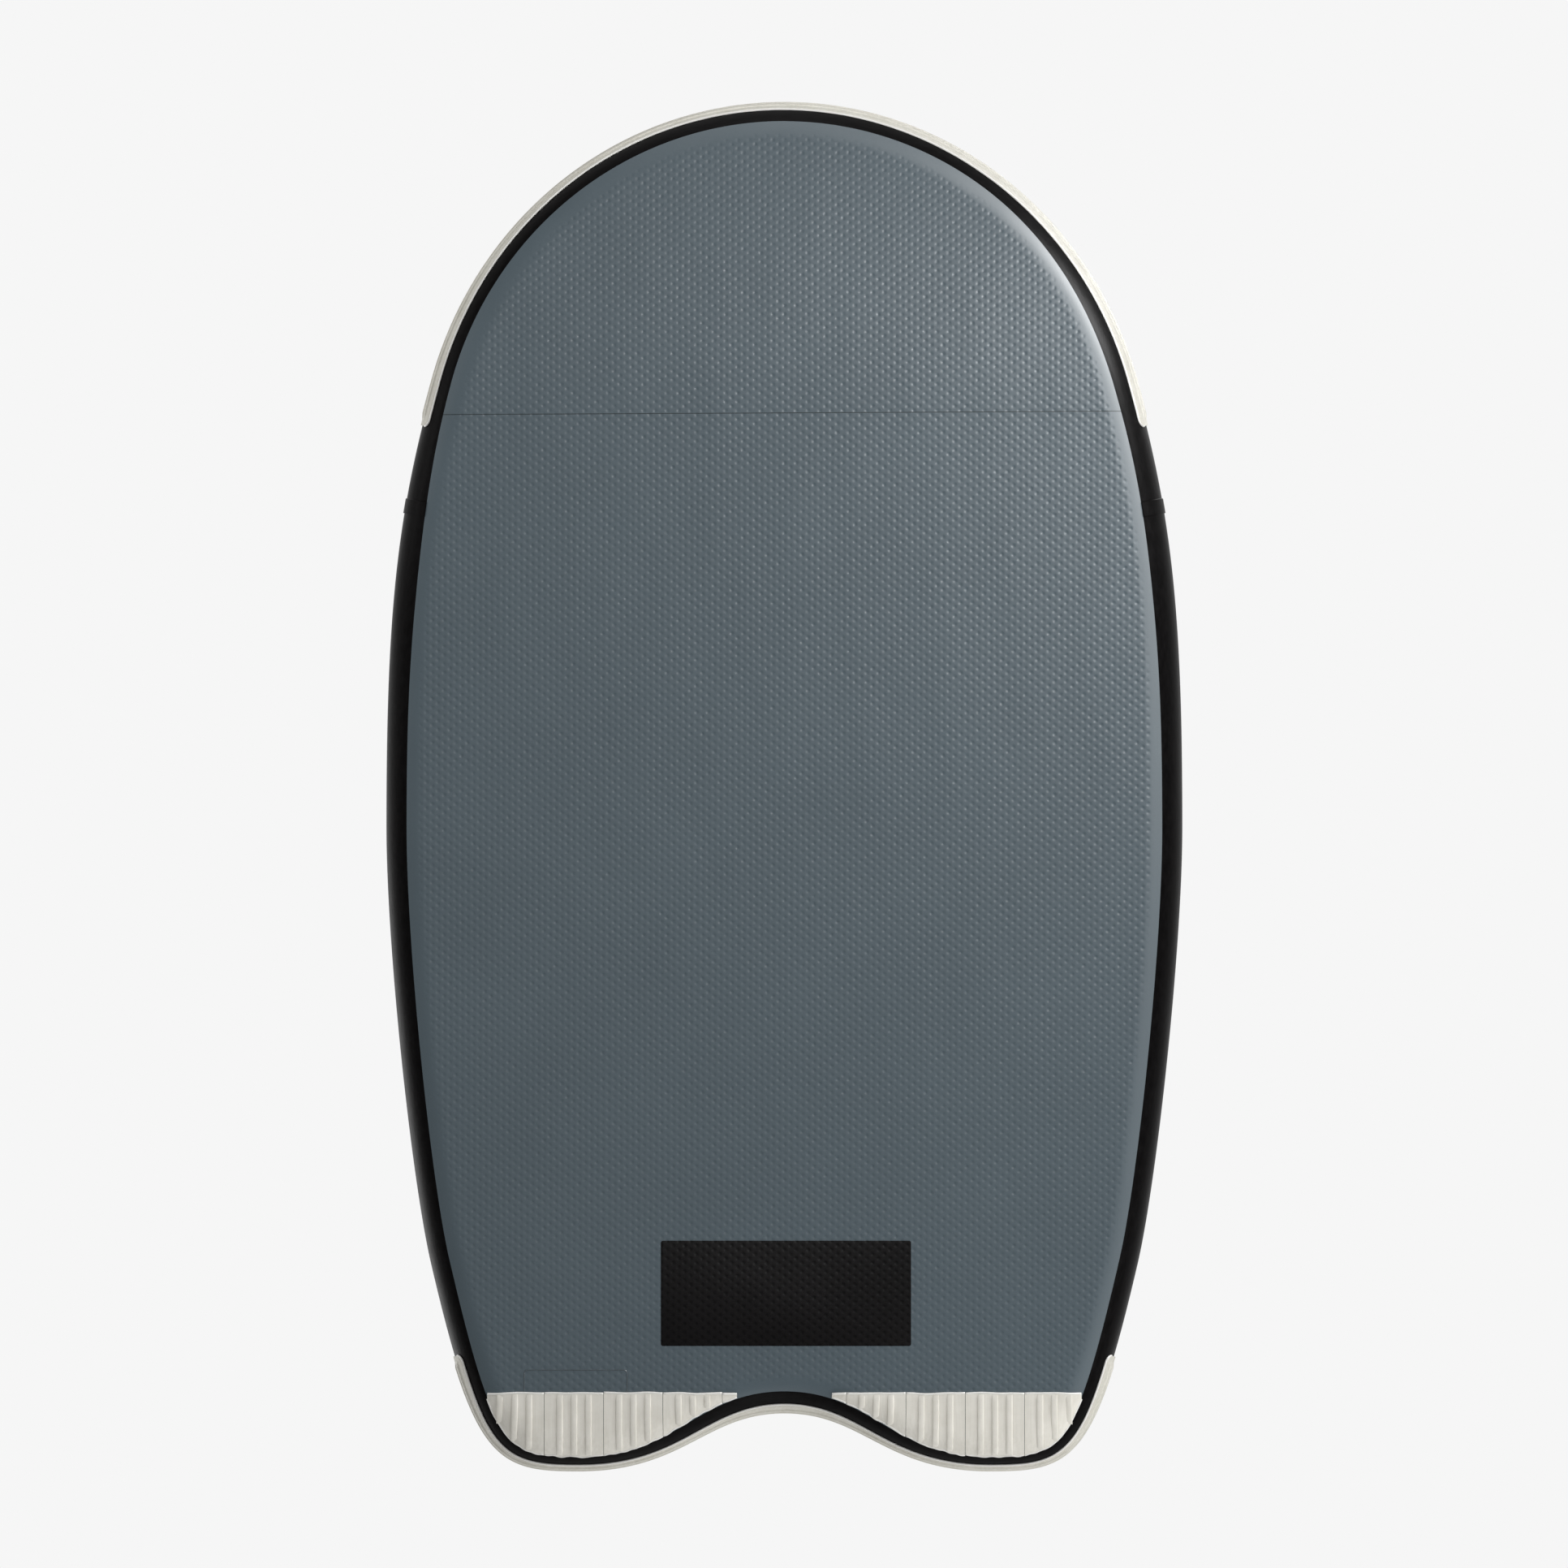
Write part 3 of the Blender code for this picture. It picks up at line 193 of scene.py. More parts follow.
def object_place(tree, scale=(1.0, 1.0, 1.0)):
    """Place in the sled's own metres, stretched by a scale along each axis."""
    place = add(tree, "ShaderNodeTexCoord").outputs["Object"]
    return add(tree, "ShaderNodeMapping", {"Vector": place, "Scale": scale}).outputs["Vector"]


def speckle(tree, place, scale, detail=2.0, roughness=0.5):
    """A noise from 0 to 1 with features of about 1 / scale metres."""
    inputs = {"Vector": place, "Scale": scale, "Detail": detail, "Roughness": roughness}
    return add(tree, "ShaderNodeTexNoise", inputs).outputs["Fac"]


def tinted(tree, shader, dark, light, share):
    """Colour the shader between a dark and a light tint by a share."""
    inputs = {"Factor": share, 6: (*dark, 1.0), 7: (*light, 1.0)}
    mixed = add(tree, "ShaderNodeMix", inputs, data_type="RGBA", clamp_factor=True)
    tree.links.new(mixed.outputs[2], shader.inputs["Base Color"])


def bumped(tree, shader, height, distance):
    """Give the shader a bump from a height of 0 to 1 over a distance in metres."""
    node = add(tree, "ShaderNodeBump", {"Height": height, "Distance": distance, "Strength": 1.0})
    tree.links.new(node.outputs["Normal"], shader.inputs["Normal"])


def coated(mesh, material):
    """Give a mesh one material and no other."""
    mesh.materials.clear()
    mesh.materials.append(material)


woven, tree, shader = finish("spacer_cloth", 0.9, specular=0.2)
place = object_place(tree)
rows = add(tree, "ShaderNodeTexWave", {"Vector": place, "Scale": 90.0}).outputs["Fac"]
threads = product(tree, rows, speckle(tree, place, 300.0))
tinted(tree, shader, (0.42, 0.42, 0.40), (0.62, 0.61, 0.57), threads)
bumped(tree, shader, threads, 0.0004)
coated(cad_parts["drop_stitch_core"].data, woven)

# The hull skin: coated fabric in two panels that meet at a seam across the hull, ahead of which the nose
# kicks up. A dark strip under the gap between the panels is painted shade in the seam. The drop-stitch
# threads pull it in at each stitch, so the flat is dimpled all over, and the dimples fade out where the
# skin rounds over its shoulder to the black band.

HALF_LENGTH = 1.046
THICKNESS = 0.150
BULGE = 0.057
BOTTOM = 0.0039
SKIN_DEPTH = 0.0004
SKIN = 0.0011
FIT = 0.0003
SEAM_Y = -0.5725
SEAM_SLANT = 0.005
SEAM_GAP = 0.0011
KICK_LENGTH = 0.4735
KICK_RISE = 0.080
KICK_SLICES = 60
# x, y, heading in degrees, reach before and after, width of skin under the band
RAIL_POINTS = (
    (0.0, -1.046, 90.0, 0.0, 0.248, 0.0250),
    (0.537, -0.623, 15.5, 0.262, 0.221, 0.0250),
    (0.6105, 0.062, 0.0, 0.323, 0.183, 0.0310),
    (0.542, 0.732, -13.1, 0.131, 0.308, 0.0290),
    (0.316, 1.046, -90.0, 0.125, 0.163, 0.0190),
    (0.0, 0.957, -90.0, 0.123, 0.0, 0.0295),
)
RAIL_STEPS = 500
# the band is deeper where its two lengths lap, and on the port side of the nose: by how much, about which Y
# and over what reach
LAP_COVER = (0.0058, -0.36, 0.20)
PORT_COVER = (0.0074, -0.68, 0.19)


def swell(at, height, middle, reach):
    """A smooth rise about a middle."""
    return height * np.exp(-(((at - middle) / reach) ** 2))


def eased(share):
    """A share from 0 to 1 with a soft start and a soft stop."""
    return share * share * (3 - 2 * share)


def rail_samples():
    """The port half of the outline as closely spaced columns: x, y, inward x, inward y, cover."""
    columns = []
    t = np.linspace(0.0, 1.0, RAIL_STEPS + 1)[:, None]
    s = 1.0 - t
    for a, b in zip(RAIL_POINTS, RAIL_POINTS[1:]):
        start, end = np.array(a[:2]), np.array(b[:2])
        ahead_a, ahead_b = (np.array((math.sin(turn), math.cos(turn))) for turn in np.radians((a[2], b[2])))
        leave, arrive = start + ahead_a * a[4], end - ahead_b * b[3]
        spot = start * s**3 + 3 * leave * s * s * t + 3 * arrive * s * t * t + end * t**3
        along = (leave - start) * s * s + (arrive - leave) * 2 * s * t + (end - arrive) * t * t
        along /= np.linalg.norm(along, axis=1)[:, None]
        cover = a[5] + (b[5] - a[5]) * eased(t) + swell(spot[:, 1:], *LAP_COVER)
        part = np.hstack([spot, -along[:, 1:], along[:, :1], cover])
        columns.append(part if not columns else part[1:])
    return np.vstack(columns)


RAIL = rail_samples()
RAIL_RUN = np.concatenate([[0.0], np.cumsum(np.linalg.norm(np.diff(RAIL[:, :2], axis=0), axis=1))])
HALF_RUN = RAIL_RUN[-1]


def rail_at(run):
    """Places round the outline: a run of 0 is the nose, positive to port and negative to starboard."""
    run = (np.asarray(run, float) + HALF_RUN) % (2 * HALF_RUN) - HALF_RUN
    columns = np.array([np.interp(np.abs(run), RAIL_RUN, RAIL[:, k]) for k in range(5)]).T
    columns[:, 4] += np.where(run > 0, swell(columns[:, 1], *PORT_COVER), 0.0)
    columns[:, [0, 2]] *= np.where(run < 0, -1.0, 1.0)[:, None]
    columns[:, 2:4] /= np.linalg.norm(columns[:, 2:4], axis=1)[:, None]
    return columns


def run_at(y):
    """Run of the place on the port side at a given Y, ahead of the lobe."""
    fore = RAIL[: np.argmax(RAIL[:, 1])]
    return float(np.interp(y, fore[:, 1], RAIL_RUN[: len(fore)]))


def section(angle, depth):
    """Inset and height on the board's section at a depth under its face: 0 is the hull, pi the deck."""
    inward = np.array([np.sin(angle) / BULGE, np.cos(angle) * 2 / THICKNESS])
    inward /= np.linalg.norm(inward, axis=0)
    return BULGE * (1 - np.sin(angle)) + depth * inward[0], THICKNESS / 2 * (1 - np.cos(angle)) + depth * inward[1]


def lift(y):
    """Height that the kick adds at a given Y."""
    return KICK_RISE * (np.clip(SEAM_Y - y, 0.0, None) / KICK_LENGTH) ** 2


def on_board(places, inset, height, kick=True):
    """Points on the board at an inset from the outline and a height above its bottom."""
    plan = places[:, :2] + places[:, 2:4] * np.reshape(inset, (-1, 1))
    z = BOTTOM + height + (lift(plan[:, 1]) if kick else 0.0)
    return np.column_stack([plan, np.broadcast_to(z, len(plan))])


def band_edge(places):
    """Section angle of the black band's edge on the skin."""
    return np.arcsin(1 - places[:, 4] / BULGE)


def banded(bm, rows, around=True):
    """Faces between each row of points and the next; with around, each row closes on itself."""
    for first, second in zip(rows, rows[1:]):
        for k in range(len(first) if around else len(first) - 1):
            n = (k + 1) % len(first)
            bm.faces.new((first[k], first[n], second[n], second[k]))


def lofted(rows, marks=None):
    """A closed shell through rows of points, with the first and last row filled in."""
    bm = bmesh.new()
    puff = bm.verts.layers.float.new("puff") if marks else None
    made = [[bm.verts.new(point) for point in row] for row in rows]
    for row, mark in zip(made, marks or ()):
        for vert in row:
            vert[puff] = mark
    banded(bm, made)
    bm.faces.new(made[0])
    bm.faces.new(made[-1])
    return bm


def closed_mesh(name, bm):
    """The mesh of a closed shell, its doubles merged and its faces turned outwards."""
    bmesh.ops.remove_doubles(bm, verts=bm.verts[:], dist=1e-6)
    bmesh.ops.recalc_face_normals(bm, faces=bm.faces[:])
    if bm.calc_volume(signed=True) < 0:
        bmesh.ops.reverse_faces(bm, faces=bm.faces[:])
    mesh = bpy.data.meshes.new(name)
    bm.to_mesh(mesh)
    bm.free()
    return mesh


def piece(name, shape, material, slot, *nodes, body="hull", crease=35.0):
    """Make a shape a piece of the sled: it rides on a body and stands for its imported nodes."""
    mesh = closed_mesh(name, shape) if isinstance(shape, bmesh.types.BMesh) else shape
    mesh.name = name
    mesh.shade_smooth()
    mesh.set_sharp_from_angle(angle=math.radians(crease))
    coated(mesh, material)
    thing = placed(name, mesh)
    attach(thing, body)
    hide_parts(*nodes)
    return thing


def bisected(bm, point, normal, drop=False):
    """Cut a shell at a plane; with drop, remove the side the normal points to and close the cut."""
    bm.normal_update()
    geometry = bm.verts[:] + bm.edges[:] + bm.faces[:]
    bmesh.ops.bisect_plane(bm, geom=geometry, plane_co=point, plane_no=normal, dist=1e-7, clear_outer=drop)
    if drop:
        bmesh.ops.holes_fill(bm, edges=[e for e in bm.edges if e.is_boundary], sides=0)


OUTLINE_STEP = 0.009
PANEL_STEP = 0.06
SHOULDER_ROWS = 10
FLAT_INSET = BULGE + 0.008
# the dimples fade in between these insets from the outline
PUFF_START, PUFF_FULL = 0.041, 0.056


def skin_shell(deck, near=SKIN_DEPTH):
    """The whole skin of one side from band edge to band edge, as a closed thin shell."""
    places = rail_at(np.arange(0.0, 2 * HALF_RUN, OUTLINE_STEP))
    edge = band_edge(places) - FIT / (2 * BULGE)
    far = SKIN_DEPTH + SKIN
    out = np.linspace(0.0, 1.0, SHOULDER_ROWS)
    rows, marks = [], []
    for depth, share in [(far, None)] + [(far, s) for s in out] + [(near, s) for s in out[::-1]] + [(near, None)]:
        inset, height = (FLAT_INSET, depth) if share is None else section(edge * share, depth)
        mark = (np.mean(inset) - PUFF_START) / (PUFF_FULL - PUFF_START)
        marks.append(eased(float(np.clip(mark, 0.0, 1.0))))
        height = THICKNESS - height if deck else height
        rows.append(on_board(places, np.broadcast_to(inset, len(places)), height, kick=False))
    return lofted(rows, marks)


def kicked(bm):
    """Slice a shell finely across the nose and raise it along the kick."""
    for y in np.linspace(SEAM_Y, -HALF_LENGTH, KICK_SLICES, endpoint=False):
        bisected(bm, (0, y, 0), (0, 1, 0))
    for vert in bm.verts:
        vert.co.z += float(lift(vert.co.y))
    return bm


def weighted(tree, *parts):
    """The sum of several values, each times its weight."""
    total = 0.0
    for value, weight in parts:
        total = add(tree, "ShaderNodeMath", {0: value, 1: weight, 2: total}, operation="MULTIPLY_ADD").outputs[0]
    return total


def roughened(tree, shader, share, low, high):
    """Let the roughness vary between two values by a share."""
    tree.links.new(ranged(tree, share, 0.0, 1.0, low, high), shader.inputs["Roughness"])


def coated_fabric(name, dark, light, roughness, specular, pit_shade=0.3):
    """Coated fabric with a dimple at each stitch, a faint weave, slight mottling and painted shade in its pits."""
    made, tree, shader = finish(name, roughness, specular=specular)
    place = object_place(tree)
    axes = add(tree, "ShaderNodeSeparateXYZ", {0: place}).outputs
    stray = calc(tree, "SUBTRACT", speckle(tree, place, 45.0, 1.0), 0.5)
    # the stitches lie on a staggered lattice 18.0 mm by 13.4 mm, each a little out of its place
    waves = [
        weighted(tree, (axes[axis], math.pi / pitch), (stray, math.pi / pitch * sway))
        for axis, pitch, sway in (("X", 0.0180, 0.0016), ("Y", 0.0134, 0.0014))
    ]
    pits = 0.0
    for wave in ("COSINE", "SINE"):
        across, along = (calc(tree, "ABSOLUTE", calc(tree, wave, w)) for w in waves)
        pit = product(tree, calc(tree, "POWER", across, 8.0), calc(tree, "POWER", along, 4.0))
        pits = calc(tree, "ADD", pit, pits)
    puff = add(tree, "ShaderNodeAttribute", attribute_name="puff").outputs["Fac"]
    uneven = ranged(tree, speckle(tree, place, 70.0, 2.0), 0.3, 0.7, 0.6, 1.15)
    pits = product(tree, pits, uneven, puff)
    grain = speckle(tree, object_place(tree, (1.0, 1.6, 1.0)), 420.0, 3.0, 0.6)
    slack = speckle(tree, object_place(tree, (1.6, 0.6, 1.0)), 7.0, 1.0)
    bumped(tree, shader, weighted(tree, (grain, 0.16), (slack, 2.0), (pits, -1.0)), 0.0007)
    share = ranged(tree, weighted(tree, (speckle(tree, place, 5.0, 3.0), 0.5), (grain, 0.5)), 0.3, 0.7)
    # the pits are also painted darker by a share: painted shade down in each dimple
    tinted(tree, shader, dark, light, weighted(tree, (share, 1.0), (pits, -pit_shade)))
    shoulder = calc(tree, "SUBTRACT", 1.0, puff)
    matt = weighted(tree, (grain, 0.5), (shoulder, 0.5))
    roughened(tree, shader, matt, roughness - 0.06, roughness + 0.20)
    return made


blue_grey = coated_fabric("blue_grey_coated_fabric", (0.058, 0.082, 0.098), (0.073, 0.101, 0.119), 0.44, 0.38)

main_panel = skin_shell(deck=False)
bisected(main_panel, (0, SEAM_Y + SEAM_GAP / 2, 0), (-SEAM_SLANT, -1, 0), drop=True)
for y in np.arange(SEAM_Y + PANEL_STEP, HALF_LENGTH, PANEL_STEP):
    bisected(main_panel, (0, y, 0), (0, 1, 0))
piece("hull_panel_main", main_panel, blue_grey, "hull_skin", "hull_skin_main")

nose_panel = skin_shell(deck=False)
bisected(nose_panel, (0, SEAM_Y - SEAM_GAP / 2, 0), (SEAM_SLANT, 1, 0), drop=True)
piece("hull_panel_nose", kicked(nose_panel), blue_grey, "hull_skin", "hull_skin_nose")

# a dark strip set under the gap where the two panels meet: painted shade in the seam
seam_shade, tree, shader = finish("painted_seam_shade", 0.6, specular=0.2)
tinted(tree, shader, (0.006, 0.009, 0.010), (0.022, 0.030, 0.033), speckle(tree, object_place(tree), 160.0, 3.0))
seam_shade_shell = skin_shell(deck=False, near=SKIN_DEPTH + 0.0003)
bisected(seam_shade_shell, (0, SEAM_Y - SEAM_GAP / 2, 0), (-SEAM_SLANT, -1, 0), drop=True)
bisected(seam_shade_shell, (0, SEAM_Y + SEAM_GAP / 2, 0), (SEAM_SLANT, 1, 0), drop=True)
piece("hull_seam_tape", seam_shade_shell, seam_shade, "hull_skin")

# The deck skin: the same coated fabric over the top, with a hole for the valve near the tail. The stitches
# round the hole keep their dimples.

VALVE_SPOT = (0.0, 0.845)
VALVE_HOLE = 0.0215
DIMPLES_NEAR = 0.05
DECK = 0.1535


def evaluated(thing):
    """The plain mesh that a thing's modifier makes of it; the thing itself is dropped."""
    bpy.context.view_layer.update()
    mesh = bpy.data.meshes.new_from_object(thing.evaluated_get(bpy.context.evaluated_depsgraph_get()))
    bpy.data.objects.remove(thing)
    return mesh


def drilled(bm, spot, radius):
    """Bore an upright round hole through a shell and give it back as a plain mesh."""
    tool = bmesh.new()
    bmesh.ops.create_cone(tool, cap_ends=True, segments=64, radius1=radius, radius2=radius, depth=0.02,
                          matrix=Matrix.Translation((*spot, DECK)))
    whole, drill = placed("bored", closed_mesh("bored", bm)), placed("drill", closed_mesh("drill", tool))
    cut = whole.modifiers.new("bore", "BOOLEAN")
    cut.object = drill
    cut.solver = "EXACT"
    mesh = evaluated(whole)
    bpy.data.objects.remove(drill)
    puff = mesh.attributes["puff"].data
    for vert in mesh.vertices:
        if (vert.co.xy - Vector(spot)).length < DIMPLES_NEAR:
            puff[vert.index].value = 1.0
    return mesh


deck_shell = drilled(kicked(skin_shell(deck=True)), VALVE_SPOT, VALVE_HOLE)
piece("deck_panel", deck_shell, blue_grey, "deck_skin", "deck_skin")

# The black rail bands: two lengths of coated tape wrapped round the side wall and glued over the edges of
# both skins. The nose length laps over the aft length on both sides.

BAND = 0.0015
BAND_ROWS = 29
BAND_EASE = 0.0003
LAP_Y = -0.441
LAP_LENGTH = 0.022
LAP_RAMP = 0.0012


def band_length(runs, over):
    """A closed length of band along a row of runs, standing out by a height at each."""
    places = rail_at(runs)
    edge = band_edge(places) + FIT / (2 * BULGE)
    outer, inner = [], []
    for share in np.linspace(0.0, 1.0, BAND_ROWS):
        angle = edge + (math.pi - 2 * edge) * share
        ease = BAND_EASE if share in (0.0, 1.0) else 0.0
        outer.append(on_board(places, *section(angle, ease - over)))
        inner.append(on_board(places, *section(angle, BAND - over)))
    return lofted(np.swapaxes(outer + inner[::-1], 0, 1))


rubberised, tree, shader = finish("black_rail_tape", 0.36, specular=0.02)
scuffs = speckle(tree, object_place(tree, (1.0, 1.0, 3.0)), 60.0, 4.0, 0.6)
fine = speckle(tree, object_place(tree), 700.0, 2.0)
tinted(tree, shader, (0.0018, 0.0015, 0.0016), (0.0046, 0.0041, 0.0043), ranged(tree, scuffs, 0.35, 0.7))
bumped(tree, shader, weighted(tree, (fine, 0.4), (scuffs, 1.0)), 0.00025)
roughened(tree, shader, scuffs, 0.30, 0.44)

lap_run = run_at(LAP_Y)
aft_end = 2 * HALF_RUN - lap_run
aft_runs = np.arange(lap_run, aft_end + 0.004, OUTLINE_STEP)
aft_runs = np.append(aft_runs[aft_runs < aft_end - 0.002], aft_end)
aft_band = band_length(aft_runs, 0.0)
piece("rail_band_aft_length", aft_band, rubberised, "rail_band", "rail_band_aft", crease=50)

ramp_run, end_run = run_at(LAP_Y - LAP_RAMP), run_at(LAP_Y + LAP_LENGTH)
half_runs = np.arange(0.0, ramp_run - 0.003, OUTLINE_STEP)
half_runs = np.append(half_runs, [ramp_run, lap_run, (lap_run + end_run) / 2, end_run])
nose_runs = np.concatenate([-half_runs[:0:-1], half_runs])
nose_band = band_length(nose_runs, np.where(np.abs(nose_runs) > ramp_run + 1e-6, BAND + FIT, 0.0))
piece("rail_band_nose_length", nose_band, rubberised, "rail_band", "rail_band_nose", crease=50)

# The rub strakes: moulded bone-coloured rubber stock glued round the nose and round the whole tail, with
# square edges, rounded corners at its ends and three ribs that run its length. A thin raised bead, coloured
# near white as a painted highlight of the light on that edge, runs along its lower edge, which is drawn up a
# little round each tail lobe and at the nose.

STRAKE_WIDTH = 0.084
STRAKE_BASE = 0.0023
STRAKE_EASE = 0.0009
STRAKE_CORNER = 0.012
STRAKE_ROWS = 230
STRAKE_SHARES = (-1.0, -0.985, -0.93, -0.78, -0.55, -0.25, 0.0, 0.25, 0.55, 0.78, 0.93, 0.985, 1.0)
CORNER_STEPS = np.array([0.0, 0.0004, 0.0016, 0.0035, 0.006, 0.009])
NOSE_STRAKE_Y = -0.5535
TAIL_STRAKE_Y = 0.874
# the lobes: how far the edge is drawn up, about which distance from the middle, over what reach, and the Y
# where that starts and where it is full
LOBE_DRAW, LOBE_X, LOBE_REACH = 0.0105, 0.27, 0.20
LOBE_Y = (0.88, 0.97)
# the nose: how far, about which run and over what reach
NOSE_DRAW = (0.0072, -0.25, 0.45)
RIB_PITCH = 0.022
RIB_FOOT = 0.0104
RIB_CREST = 0.0072
RIB_HEIGHT = 0.0022
# a rib is sunk by this in its stock, ends this far short of a strake's ends, and runs out over this length
RIB_SUNK = 0.0001
RIB_SHORT = 0.006
RIB_TAPER = 0.008
STRAKE_EDGE_BEAD = 0.0016


def strake_reach(runs):
    """Places along a strake, and how far its stock reaches above and below the middle of the wall there."""
    places = rail_at(runs)
    short = np.clip(STRAKE_CORNER - np.minimum(runs - runs[0], runs[-1] - runs), 0.0, STRAKE_CORNER)
    half = STRAKE_WIDTH / 2 - (STRAKE_CORNER - np.sqrt(STRAKE_CORNER**2 - short**2))
    lobe = np.exp(-(((np.abs(places[:, 0]) - LOBE_X) / LOBE_REACH) ** 4)) * np.interp(places[:, 1], LOBE_Y, (0, 1))
    return places, half, half - LOBE_DRAW * lobe - swell(runs, *NOSE_DRAW)


def strake_base(runs):
    """The strake's flat stock along a row of runs, narrower at its end corners and round each tail lobe."""
    places, upper, lower = strake_reach(runs)
    face, back = [], []
    for share in STRAKE_SHARES:
        height = THICKNESS / 2 + np.where(share < 0, lower, upper) * share
        angle = np.arccos(1 - 2 * height / THICKNESS)
        proud = FIT + STRAKE_BASE - (STRAKE_EASE if abs(share) == 1.0 else 0.0)
        face.append(on_board(places, *section(angle, -proud)))
        back.append(on_board(places, *section(angle, -FIT)))
    return lofted(np.swapaxes(face + back[::-1], 0, 1))


def grown(lines, tree, **inputs):
    """Run a geometry tree on lines of points and give the result as a plain mesh."""
    start = bpy.data.meshes.new("lines")
    points, edges = [], []
    for line in lines:
        edges += [(k, k + 1) for k in range(len(points), len(points) + len(line) - 1)]
        points += [tuple(p) for p in line]
    start.from_pydata(points, edges, [])
    carrier = placed("lines", start)
    modifier = carrier.modifiers.new("grow", "NODES")
    modifier.node_group = tree
    for item in tree.interface.items_tree:
        if item.name in inputs:
            modifier[item.identifier] = inputs[item.name]
    return evaluated(carrier)


def new_tree(name, **sockets):
    """A geometry tree with its named inputs; gives it back with them and its line of points as a curve."""
    made = bpy.data.node_groups.new(name, "GeometryNodeTree")
    for key, kind in {"Lines": "Geometry", **sockets}.items():
        made.interface.new_socket(key, in_out="INPUT", socket_type="NodeSocket" + kind)
    made.interface.new_socket("Shape", in_out="OUTPUT", socket_type="NodeSocketGeometry")
    given = made.nodes.new("NodeGroupInput").outputs
    return made, given, add(made, "GeometryNodeMeshToCurve", {"Mesh": given["Lines"]}).outputs[0]


def closed_tree(tree, shape, material):
    """End a geometry tree as every one here ends: realized, with its material."""
    real = add(tree, "GeometryNodeRealizeInstances", {"Geometry": shape})
    painted = add(tree, "GeometryNodeSetMaterial", {"Geometry": real.outputs[0], "Material": material})
    add(tree, "NodeGroupOutput", {0: painted.outputs[0]})
    return tree


def rib_tree():
    """Sweep a profile along each line and let its height run out at both ends of the line."""
    tree, given, line = new_tree("swept_rib", Profile="Object", Taper="Float", Tilt="Float", Finish="Material")
    line = add(tree, "GeometryNodeSetCurveNormal", {"Curve": line}, mode="Z_UP").outputs[0]
    line = add(tree, "GeometryNodeSetCurveTilt", {"Curve": line, "Tilt": given["Tilt"]}).outputs[0]
    run = add(tree, "GeometryNodeSplineParameter").outputs["Length"]
    whole = add(tree, "GeometryNodeSplineLength").outputs["Length"]
    to_end = calc(tree, "MINIMUM", run, calc(tree, "SUBTRACT", whole, run))
    fade = calc(tree, "DIVIDE", to_end, calc(tree, "MAXIMUM", given["Taper"], 1e-6), clamp=True)
    kept = tree.nodes.new("GeometryNodeCaptureAttribute")
    tree.links.new(line, kept.inputs["Geometry"])
    for key, kind, source in (
        ("path", "VECTOR", add(tree, "GeometryNodeInputPosition").outputs[0]),
        ("up", "VECTOR", add(tree, "GeometryNodeInputNormal").outputs[0]),
        ("fade", "FLOAT", fade),
    ):
        kept.capture_items.new(kind, key)
        tree.links.new(source, kept.inputs[key])
    line, path, up, fade = (kept.outputs[key] for key in ("Geometry", "path", "up", "fade"))
    profile = add(tree, "GeometryNodeObjectInfo", {"Object": given["Profile"]}).outputs["Geometry"]
    profile = add(tree, "GeometryNodeMeshToCurve", {"Mesh": profile}).outputs[0]
    sweep = {"Curve": line, "Profile Curve": profile, "Fill Caps": True}
    swept = add(tree, "GeometryNodeCurveToMesh", sweep).outputs[0]
    here = add(tree, "GeometryNodeInputPosition").outputs[0]
    off = add(tree, "ShaderNodeVectorMath", {0: here, 1: path}, operation="SUBTRACT").outputs[0]
    high = add(tree, "ShaderNodeVectorMath", {0: off, 1: up}, operation="DOT_PRODUCT").outputs["Value"]
    drop = product(tree, calc(tree, "MAXIMUM", high, 0.0), calc(tree, "SUBTRACT", fade, 1.0))
    shift = add(tree, "ShaderNodeVectorMath", {0: up, "Scale": drop}, operation="SCALE").outputs[0]
    moved = add(tree, "GeometryNodeSetPosition", {"Geometry": swept, "Offset": shift}).outputs[0]
    return closed_tree(tree, moved, given["Finish"])


def wire_tree():
    """Draw a round wire along each line."""
    tree, given, line = new_tree("round_wire", Radius="Float", Finish="Material")
    girth = add(tree, "GeometryNodeCurvePrimitiveCircle", {"Resolution": 20, "Radius": given["Radius"]})
    sweep = {"Curve": line, "Profile Curve": girth.outputs["Curve"], "Fill Caps": True}
    return closed_tree(tree, add(tree, "GeometryNodeCurveToMesh", sweep).outputs[0], given["Finish"])


def closed_profile(name, points):
    """A closed outline for a rib: X is its height and Y its width."""
    mesh = bpy.data.meshes.new(name)
    count = len(points)
    mesh.from_pydata([(x, y, 0.0) for x, y in points], [(k, (k + 1) % count) for k in range(count)], [])
    return placed(name, mesh)


def joined(*shapes):
    """Bring meshes and shells together in one shell."""
    whole = bmesh.new()
    for shape in shapes:
        part = closed_mesh("part", shape) if isinstance(shape, bmesh.types.BMesh) else shape
        whole.from_mesh(part)
        bpy.data.meshes.remove(part)
    return whole


def moulded_rubber(name, dark, light, streak):
    """Bone-coloured rubber, a little streaked along its run and soiled in patches."""
    made, tree, shader = finish(name, 0.55, specular=0.18)
    place = object_place(tree)
    soil = speckle(tree, place, 24.0, 5.0, 0.65)
    lines = speckle(tree, object_place(tree, streak), 260.0, 2.0)
    tinted(tree, shader, dark, light, ranged(tree, weighted(tree, (soil, 0.6), (lines, 0.4)), 0.36, 0.62))
    bumped(tree, shader, weighted(tree, (speckle(tree, place, 900.0, 2.0), 0.5), (lines, 1.0)), 0.00004)
    roughened(tree, shader, soil, 0.50, 0.66)
    return made


